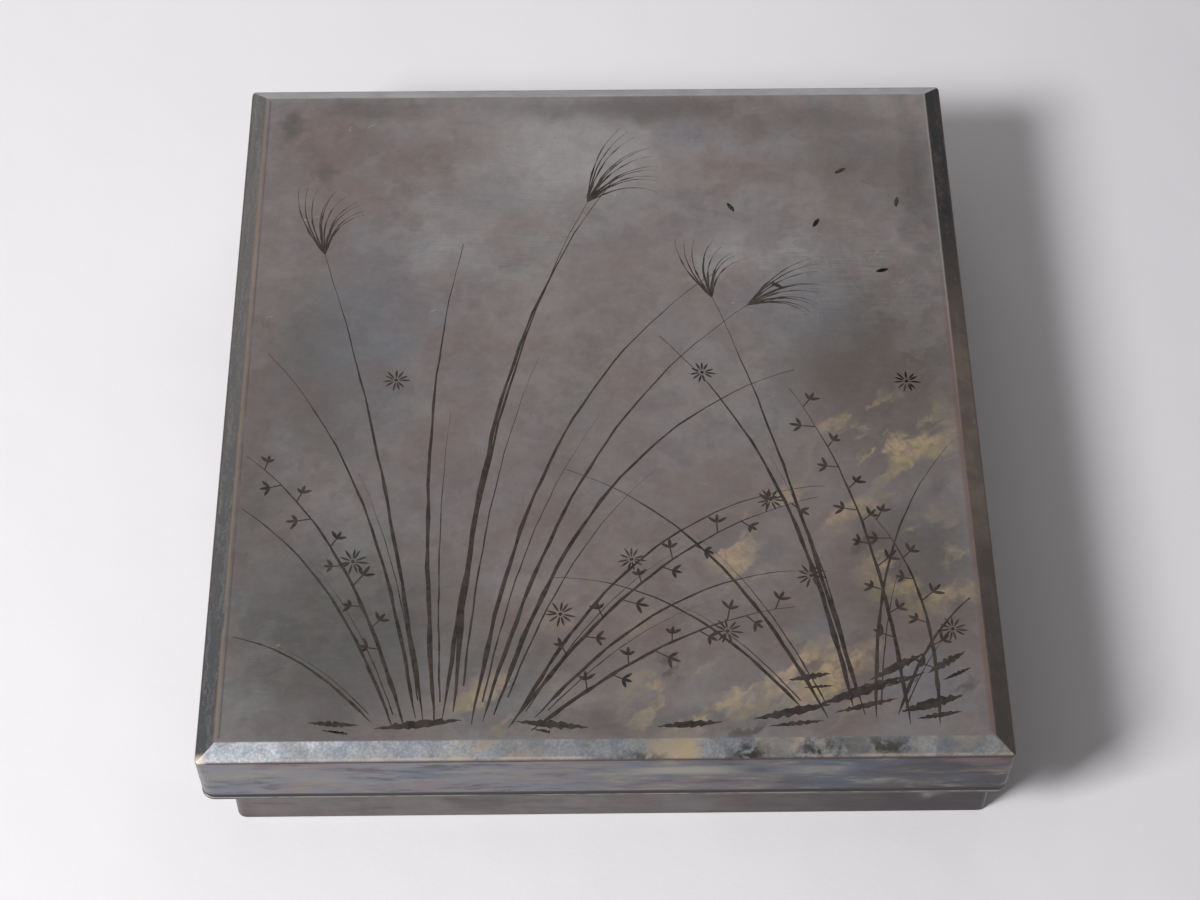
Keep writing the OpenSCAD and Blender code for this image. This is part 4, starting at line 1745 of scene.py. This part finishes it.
class WRITING_BOX_OT_lid_shell(BuildOperator, bpy.types.Operator):
    """Builds the bevelled lid as one lacquered shell"""

    bl_idname = "writing_box.lid_shell"
    bl_label = "Lid"

    def execute(self, context):
        settings = context.scene.writing_box_lid
        base = context.scene.writing_box_base
        outer = self.tapered_block(settings)
        self.cut_bevels(outer, settings)
        wall = Vector((settings.wall, settings.wall, 0))
        ceiling = LID_HIGH.z - settings.ceiling
        high = Vector((LID_HIGH.x, LID_HIGH.y, ceiling)) - wall
        inner = block("lid_inside", LID_LOW + wall, high, base.inner_corner)
        for part in (outer, inner):
            open_towards(part, DOWN)
        lid = bridged(joined(outer, inner), LID_LOW.z)
        soften(lid, settings.arris)
        margin = 0.3 * MM

        def inside(face):
            centre = face.center
            within = abs(centre.x) < high.x + margin and abs(centre.y) < high.y + margin
            return int(within and centre.z < ceiling + margin)

        finishes = [LidFinish(settings).made(), inner_finish(base)]
        place(lid, "lid", finishes, ("lid_top_board", *LID_WALLS), inside)
        return {"FINISHED"}

    def tapered_block(self, settings):
        """The lid's block, its upright corners sharper at the top than at the mouth."""
        top = LID_HIGH.z - settings.relief
        shoulder = LID_HIGH.z - settings.shoulder_drop
        reach = settings.mouth_corner
        share = settings.corner / reach
        outer = block("lid_shell", LID_LOW, (LID_HIGH.x, LID_HIGH.y, top), reach)
        for x in (LID_LOW.x, LID_HIGH.x):
            for y in (LID_LOW.y, LID_HIGH.y):

                def near(vertex, x=x, y=y):
                    away = max(abs(vertex.co.x - x), abs(vertex.co.y - y))
                    return vertex.co.z > shoulder and away < 1.01 * reach

                with editing(outer):
                    pick("VERT", near)
                    bpy.ops.transform.resize(value=(share, share, 1), center_override=(x, y, top))
        return outer

    def cut_bevels(self, outer, settings):
        """Cuts the four mitred bevels, from the shoulder up to the flat top."""
        drop = settings.shoulder_drop - settings.relief
        for way in (Vector((1, 0, 0)), Vector((-1, 0, 0)), Vector((0, 1, 0)), Vector((0, -1, 0))):
            side = abs(way.dot(LID_HIGH))
            with editing(outer):
                bpy.ops.mesh.bisect(
                    plane_co=way * side + UP * (LID_HIGH.z - settings.shoulder_drop),
                    plane_no=(way * drop + UP * settings.bevel_width).normalized(),
                    use_fill=True,
                    clear_outer=True,
                )


class WRITING_BOX_OT_grasses(BuildOperator, bpy.types.Operator):
    """Draws the raised autumn grasses on the lid's top"""

    bl_idname = "writing_box.grasses"
    bl_label = "Raised grasses"

    def execute(self, context):
        settings = context.scene.writing_box_lid
        ground = LID_HIGH.z - settings.relief
        widest = 1.6 * MM
        sunk = 0.02 * MM
        strokes = []
        for stroke in grass_strokes():
            strokes.append([((p.x * MM, p.y * MM, ground), min(w * MM, widest)) for p, w in stroke])
        relief = drawn("lid_grasses", strokes, 1)
        with editing(relief):
            flatten = settings.relief / widest
            bpy.ops.transform.resize(value=(1, 1, flatten), center_override=(0, 0, ground))
            bpy.ops.mesh.select_all(action="SELECT")
            bpy.ops.mesh.bisect(
                plane_co=(0, 0, ground - sunk),
                plane_no=(0, 0, 1),
                clear_inner=True,
                use_fill=True,
            )
        smooth(relief, 60)
        place(relief, "lid", [grass_finish(settings)])
        return {"FINISHED"}


class WRITING_BOX_OT_mouth_bands(BuildOperator, bpy.types.Operator):
    """Builds the thin metal bands on the mouths of the lid and the base"""

    bl_idname = "writing_box.mouth_bands"
    bl_label = "Mouth bands"

    def execute(self, context):
        lid = context.scene.writing_box_lid
        base = context.scene.writing_box_base
        for body, corner, wall in (
            ("lid", lid.mouth_corner + BAND_PROUD, lid.wall + BAND_PROUD),
            ("base", base.corner, base.wall),
        ):
            node = f"{body}_mouth_rim"
            low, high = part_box(node)
            band = hoop(f"{body}_mouth_band", low, high, corner, wall, base.inner_corner)
            soften(band, 0.42 * MM, 4, 30)
            metal = band_finish(f"Dulled tin, {body}", base.band, in_mm(low), in_mm(high))
            place(band, body, [metal], (node,))
        return {"FINISHED"}


class WRITING_BOX_OT_base_shell(BuildOperator, bpy.types.Operator):
    """Builds the base as one lacquered tub"""

    bl_idname = "writing_box.base_shell"
    bl_label = "Base"

    def execute(self, context):
        settings = context.scene.writing_box_base
        base = tub(
            "base_shell",
            BASE_LOW,
            BASE_HIGH,
            settings.corner,
            settings.wall,
            settings.floor,
            settings.inner_corner,
        )
        soften(base, 0.5 * MM)
        low, high = shrunk(BASE_LOW, BASE_HIGH, settings.wall - 0.3 * MM)

        def inside(face):
            centre = face.center
            within = low.x < centre.x < high.x and low.y < centre.y < high.y
            return int(within and centre.z > settings.floor - 0.5 * MM)

        finishes = [base_finish(settings), inner_finish(settings)]
        place(base, "base", finishes, ("base_floor_board", *BASE_WALLS), inside)
        return {"FINISHED"}


class WRITING_BOX_OT_inner_board(BuildOperator, bpy.types.Operator):
    """Builds the board that holds the inkstone and the dropper in place"""

    bl_idname = "writing_box.inner_board"
    bl_label = "Inner board"

    def execute(self, context):
        board = merged_copy("inner_board_lacquered", "inner_board")
        soften(board, 0.45 * MM, 3, 30, refilled=True)
        finishes = [inner_finish(context.scene.writing_box_base)]
        place(board, "board", finishes, ("inner_board",))
        return {"FINISHED"}


class WRITING_BOX_OT_inkstone(BuildOperator, bpy.types.Operator):
    """Builds the carved inkstone"""

    bl_idname = "writing_box.inkstone"
    bl_label = "Inkstone"

    def execute(self, context):
        low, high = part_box("inkstone")
        stone = merged_copy("inkstone_carved", "inkstone")
        soften(stone, 0.8 * MM, 4, 30, refilled=True)
        honed = stone_finish(context.scene.writing_box_tools, in_mm(low), in_mm(high))
        place(stone, "stone", [honed], ("inkstone",))
        return {"FINISHED"}


class WRITING_BOX_OT_dropper(BuildOperator, bpy.types.Operator):
    """Builds the water dropper with its raised air hole and spout hole"""

    bl_idname = "writing_box.dropper"
    bl_label = "Water dropper"

    def execute(self, context):
        low, high = span("dropper_body", "dropper_top")
        metal = copper_finish(context.scene.writing_box_tools, in_mm(low), in_mm(high))
        for name, node in (("dropper_can", "dropper_body"), ("dropper_plate", "dropper_top")):
            part = merged_copy(name, node)
            soften(part, 0.4 * MM, 3, 30, refilled=True)
            place(part, "dropper", [metal], (node,))
        top_low, top_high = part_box("dropper_top")
        centre = (top_low + top_high) / 2
        spout_x = top_high.x - 9 * MM
        for name, x, radius in (
            ("dropper_air_ring", centre.x, 2.0 * MM),
            ("dropper_spout_ring", spout_x, 2.3 * MM),
        ):
            clear_selection()
            bpy.ops.mesh.primitive_torus_add(
                location=(x, centre.y, top_high.z),
                major_radius=radius,
                minor_radius=0.55 * MM,
                major_segments=40,
                minor_segments=12,
            )
            ring = context.object
            ring.name = ring.data.name = name
            bpy.ops.object.transform_apply(location=True, rotation=True, scale=True)
            smooth(ring, 60)
            place(ring, "dropper", [metal])
        return {"FINISHED"}


class WRITING_BOX_OT_trays(BuildOperator, bpy.types.Operator):
    """Builds the two long trays with their rest bars"""

    bl_idname = "writing_box.trays"
    bl_label = "Trays"

    def execute(self, context):
        settings = context.scene.writing_box_tools
        for tray in ("left_tray", "right_tray"):
            sides = [f"{tray}_{side}" for side in TRAY_SIDES]
            nodes = (f"{tray}_floor", *sides)
            low, high = span(*nodes)
            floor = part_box(f"{tray}_floor")[1].z - low.z
            shell = tub(f"{tray}_box", low, high, 2 * MM, TRAY_WALL, floor, 0.6 * MM)
            soften(shell, 0.5 * MM, 3, 30)
            name = f"Black lacquer, {tray}"
            lacquer = lacquer_finish(name, settings.lacquer, in_mm(low), in_mm(high))
            rim = high.z - 0.35 * MM

            def gilded(face, rim=rim):
                return int(face.center.z > rim)

            place(shell, tray, [lacquer, gold_edge_finish()], nodes, gilded)
            bars = merged_copy(f"{tray}_bars", f"{tray}_rest_bars")
            soften(bars, 0.3 * MM, 2, 30, clamp=True)
            place(bars, tray, [lacquer], (f"{tray}_rest_bars",))
        return {"FINISHED"}


def tool_axis(node):
    """Front end, radius and length of a round tool part that lies along Y."""
    low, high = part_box(node)
    start = Vector(((low.x + high.x) / 2, low.y, (low.z + high.z) / 2))
    return start, (high.x - low.x) / 2, high.y - low.y


def handle_profile(radius, run):
    """A domed butt, a raised ring near it and a slight waist."""
    slack = 0.35 * MM
    dome = []
    for i in range(9):
        angle = math.pi / 2 * i / 8
        dome.append((2 * MM * (1 - math.cos(angle)), (radius - slack) * math.sin(angle)))
    ring = [(4.2, -0.35), (4.5, -0.05), (5.3, 0.0), (6.1, -0.05), (6.4, -0.35)]
    ring = [(along * MM, radius + rise * MM) for along, rise in ring]
    waist = []
    for share in (0.1, 0.3, 0.5, 0.7, 0.85, 0.95):
        waist.append((run * share, radius - slack * math.cos(math.pi * (share - 0.1) / 1.8)))
    return dome + ring + waist + [(run - 0.4 * MM, radius), (run, radius - 0.3 * MM), (run, 0.0)]


def collar_profile(radius, run):
    """A thin collar with a rolled bead at each end."""
    beads = [(0.0, 0.0), (0.0, -0.25), (0.25, 0.0), (0.8, 0.0), (1.05, -0.22), (1.3, -0.3)]
    rise = [(along * MM, radius + step * MM) for along, step in beads[1:]]
    far = [(run - along, size) for along, size in reversed(rise)]
    return [(0.0, 0.0)] + rise + far + [(run, 0.0)]


def make_handle_and_collar(settings, tool):
    """The turned handle and the metal collar of one tool."""
    start, radius, run = tool_axis(f"{tool}_handle")
    handle = turned(f"{tool}_grip", start, handle_profile(radius, run))
    lacquer = handle_finish(settings, f"Handle lacquer, {tool}", start.y / MM, run / MM)
    place(handle, tool, [lacquer], (f"{tool}_handle",))
    start, radius, run = tool_axis(f"{tool}_collar")
    collar = turned(f"{tool}_band", start, collar_profile(radius, run))
    low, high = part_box(f"{tool}_collar")
    brass = band_finish(f"Collar brass, {tool}", settings.collar, in_mm(low), in_mm(high), 0.26)
    place(collar, tool, [brass], (f"{tool}_collar",))


# the locks of a brush, each turned by the golden angle from the one before
LOCKS = 110
GOLDEN_TURN = 2.39996


def tuft(name, start, radius, run, steps=12):
    """Brush hair as separate drawn-out locks, spread evenly from the core outwards."""

    def girth(share):
        return radius * (1 + 0.14 * math.sin(math.pi * share)) * math.sqrt(max(0.0, 1 - share**3))

    locks = []
    for i in range(LOCKS):
        depth = math.sqrt((i + 0.5) / LOCKS)
        end = 1.0 - 0.1 * depth * (0.5 + 0.5 * math.sin(i * 5.1))
        lock = []
        for k in range(steps + 1):
            share = end * k / steps
            out = girth(share) * depth * 0.93
            turn = i * GOLDEN_TURN + 0.25 * share * math.sin(i * 1.7)
            spot = start + Vector((out * math.cos(turn), run * share, out * math.sin(turn)))
            lock.append((spot, radius * (0.16 * (1 - k / steps) ** 0.6 + 0.012)))
        locks.append(lock)
    return smooth(drawn(name, locks, 0), 70)


class WRITING_BOX_OT_brushes(BuildOperator, bpy.types.Operator):
    """Builds the two brushes: handle, collar and hair"""

    bl_idname = "writing_box.brushes"
    bl_label = "Brushes"

    def execute(self, context):
        settings = context.scene.writing_box_tools
        for tool in ("large_brush", "small_brush"):
            make_handle_and_collar(settings, tool)
            start, radius, run = tool_axis(f"{tool}_hair")
            hair = tuft(f"{tool}_tuft", start, radius / 1.12, run)
            shade = hair_finish(settings, start.y / MM, (start.y + run) / MM)
            place(hair, tool, [shade], (f"{tool}_hair",))
        return {"FINISHED"}


class WRITING_BOX_OT_knife(BuildOperator, bpy.types.Operator):
    """Builds the paper knife with its ground edge"""

    bl_idname = "writing_box.knife"
    bl_label = "Paper knife"

    def execute(self, context):
        settings = context.scene.writing_box_tools
        make_handle_and_collar(settings, "knife")
        low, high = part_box("knife_blade")
        width = high.x - low.x
        blade = block("knife_blade_ground", low, high)
        edge = high.x
        ground = edge - 2.6 * MM
        with editing(blade):
            bpy.ops.mesh.bisect(
                plane_co=(low.x, high.y - 2 * width, 0),
                plane_no=Vector((-2, 1, 0)).normalized(),
                use_fill=True,
                clear_outer=True,
            )
            bpy.ops.mesh.select_all(action="SELECT")
            bpy.ops.mesh.bisect(plane_co=(ground, 0, 0), plane_no=(1, 0, 0))
            pick("VERT", lambda vertex: abs(vertex.co.x - edge) < TOUCHING)
            middle = (low.z + high.z) / 2
            bpy.ops.transform.resize(value=(1, 1, 0.1), center_override=(edge, 0, middle))
        soften(blade, 0.06 * MM, 2, 12, clamp=True)
        steel = steel_finish(settings, "Ground steel, knife", low.y / MM)
        place(blade, "knife", [steel], ("knife_blade",))
        return {"FINISHED"}


class WRITING_BOX_OT_awl(BuildOperator, bpy.types.Operator):
    """Builds the awl with its needle-ground spike"""

    bl_idname = "writing_box.awl"
    bl_label = "Awl"

    def execute(self, context):
        settings = context.scene.writing_box_tools
        make_handle_and_collar(settings, "awl")
        start, radius, run = tool_axis("awl_spike")
        profile = [(0, 0), (0, radius), (0.03 * run, radius), (0.06 * run, radius * 0.86)]
        for share in (0.2, 0.4, 0.6, 0.8, 0.92, 0.98):
            profile.append((share * run, radius * (0.86 - 0.62 * share)))
        profile += [(run - 0.2 * MM, radius * 0.2), (run, radius * 0.08), (run, 0)]
        spike = turned("awl_needle", start, profile)
        steel = steel_finish(settings, "Ground steel, awl", start.y / MM)
        place(spike, "awl", [steel], ("awl_spike",))
        return {"FINISHED"}


class WRITING_BOX_OT_ink_stick(BuildOperator, bpy.types.Operator):
    """Builds the moulded ink stick with a sunk panel on two faces"""

    bl_idname = "writing_box.ink_stick"
    bl_label = "Ink stick"

    def execute(self, context):
        low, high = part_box("ink_stick")
        stick = block("ink_stick_moulded", low, high, 2.2 * MM)
        for way in (UP, DOWN):
            with editing(stick):
                pick("FACE", facing(way))
                bpy.ops.mesh.inset(thickness=1.2 * MM, depth=0)
                bpy.ops.mesh.inset(thickness=0.3 * MM, depth=-0.4 * MM)
        soften(stick, 0.2 * MM, 2, 30)
        soot = ink_finish(context.scene.writing_box_tools, in_mm(low), in_mm(high))
        place(stick, "ink", [soot], ("ink_stick",))
        return {"FINISHED"}


class WRITING_BOX_PT_sidebar(bpy.types.Panel):
    """Lists the settings and the building steps"""

    bl_idname = "WRITING_BOX_PT_sidebar"
    bl_label = "Writing Box"
    bl_space_type = "VIEW_3D"
    bl_region_type = "UI"
    bl_category = "Writing Box"

    def draw(self, context):
        for key, kind in SETTINGS:
            box = self.layout.box()
            box.label(text=kind.__doc__)
            group = getattr(context.scene, key)
            for name in kind.__annotations__:
                box.prop(group, name)
        column = self.layout.column(align=True)
        for step in STEPS:
            column.operator(step.bl_idname)


SETTINGS = (
    ("writing_box_stage", StageSettings),
    ("writing_box_lid", LidSettings),
    ("writing_box_base", BaseSettings),
    ("writing_box_tools", ToolSettings),
)
STEPS = (
    WRITING_BOX_OT_stage,
    WRITING_BOX_OT_lid_shell,
    WRITING_BOX_OT_grasses,
    WRITING_BOX_OT_mouth_bands,
    WRITING_BOX_OT_base_shell,
    WRITING_BOX_OT_inner_board,
    WRITING_BOX_OT_inkstone,
    WRITING_BOX_OT_dropper,
    WRITING_BOX_OT_trays,
    WRITING_BOX_OT_brushes,
    WRITING_BOX_OT_knife,
    WRITING_BOX_OT_awl,
    WRITING_BOX_OT_ink_stick,
)


def register():
    for key, kind in SETTINGS:
        bpy.utils.register_class(kind)
        setattr(bpy.types.Scene, key, bpy.props.PointerProperty(type=kind))
    for kind in (*STEPS, WRITING_BOX_PT_sidebar):
        bpy.utils.register_class(kind)


def unregister():
    for kind in reversed((*STEPS, WRITING_BOX_PT_sidebar)):
        bpy.utils.unregister_class(kind)
    for key, kind in reversed(SETTINGS):
        delattr(bpy.types.Scene, key)
        bpy.utils.unregister_class(kind)


def main():
    """Builds everything in order."""
    register()
    for step in STEPS:
        operator = getattr(bpy.ops.writing_box, step.bl_idname.split(".")[1])
        operator()
    clear_selection()
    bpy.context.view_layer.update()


if __name__ == "__main__":
    main()
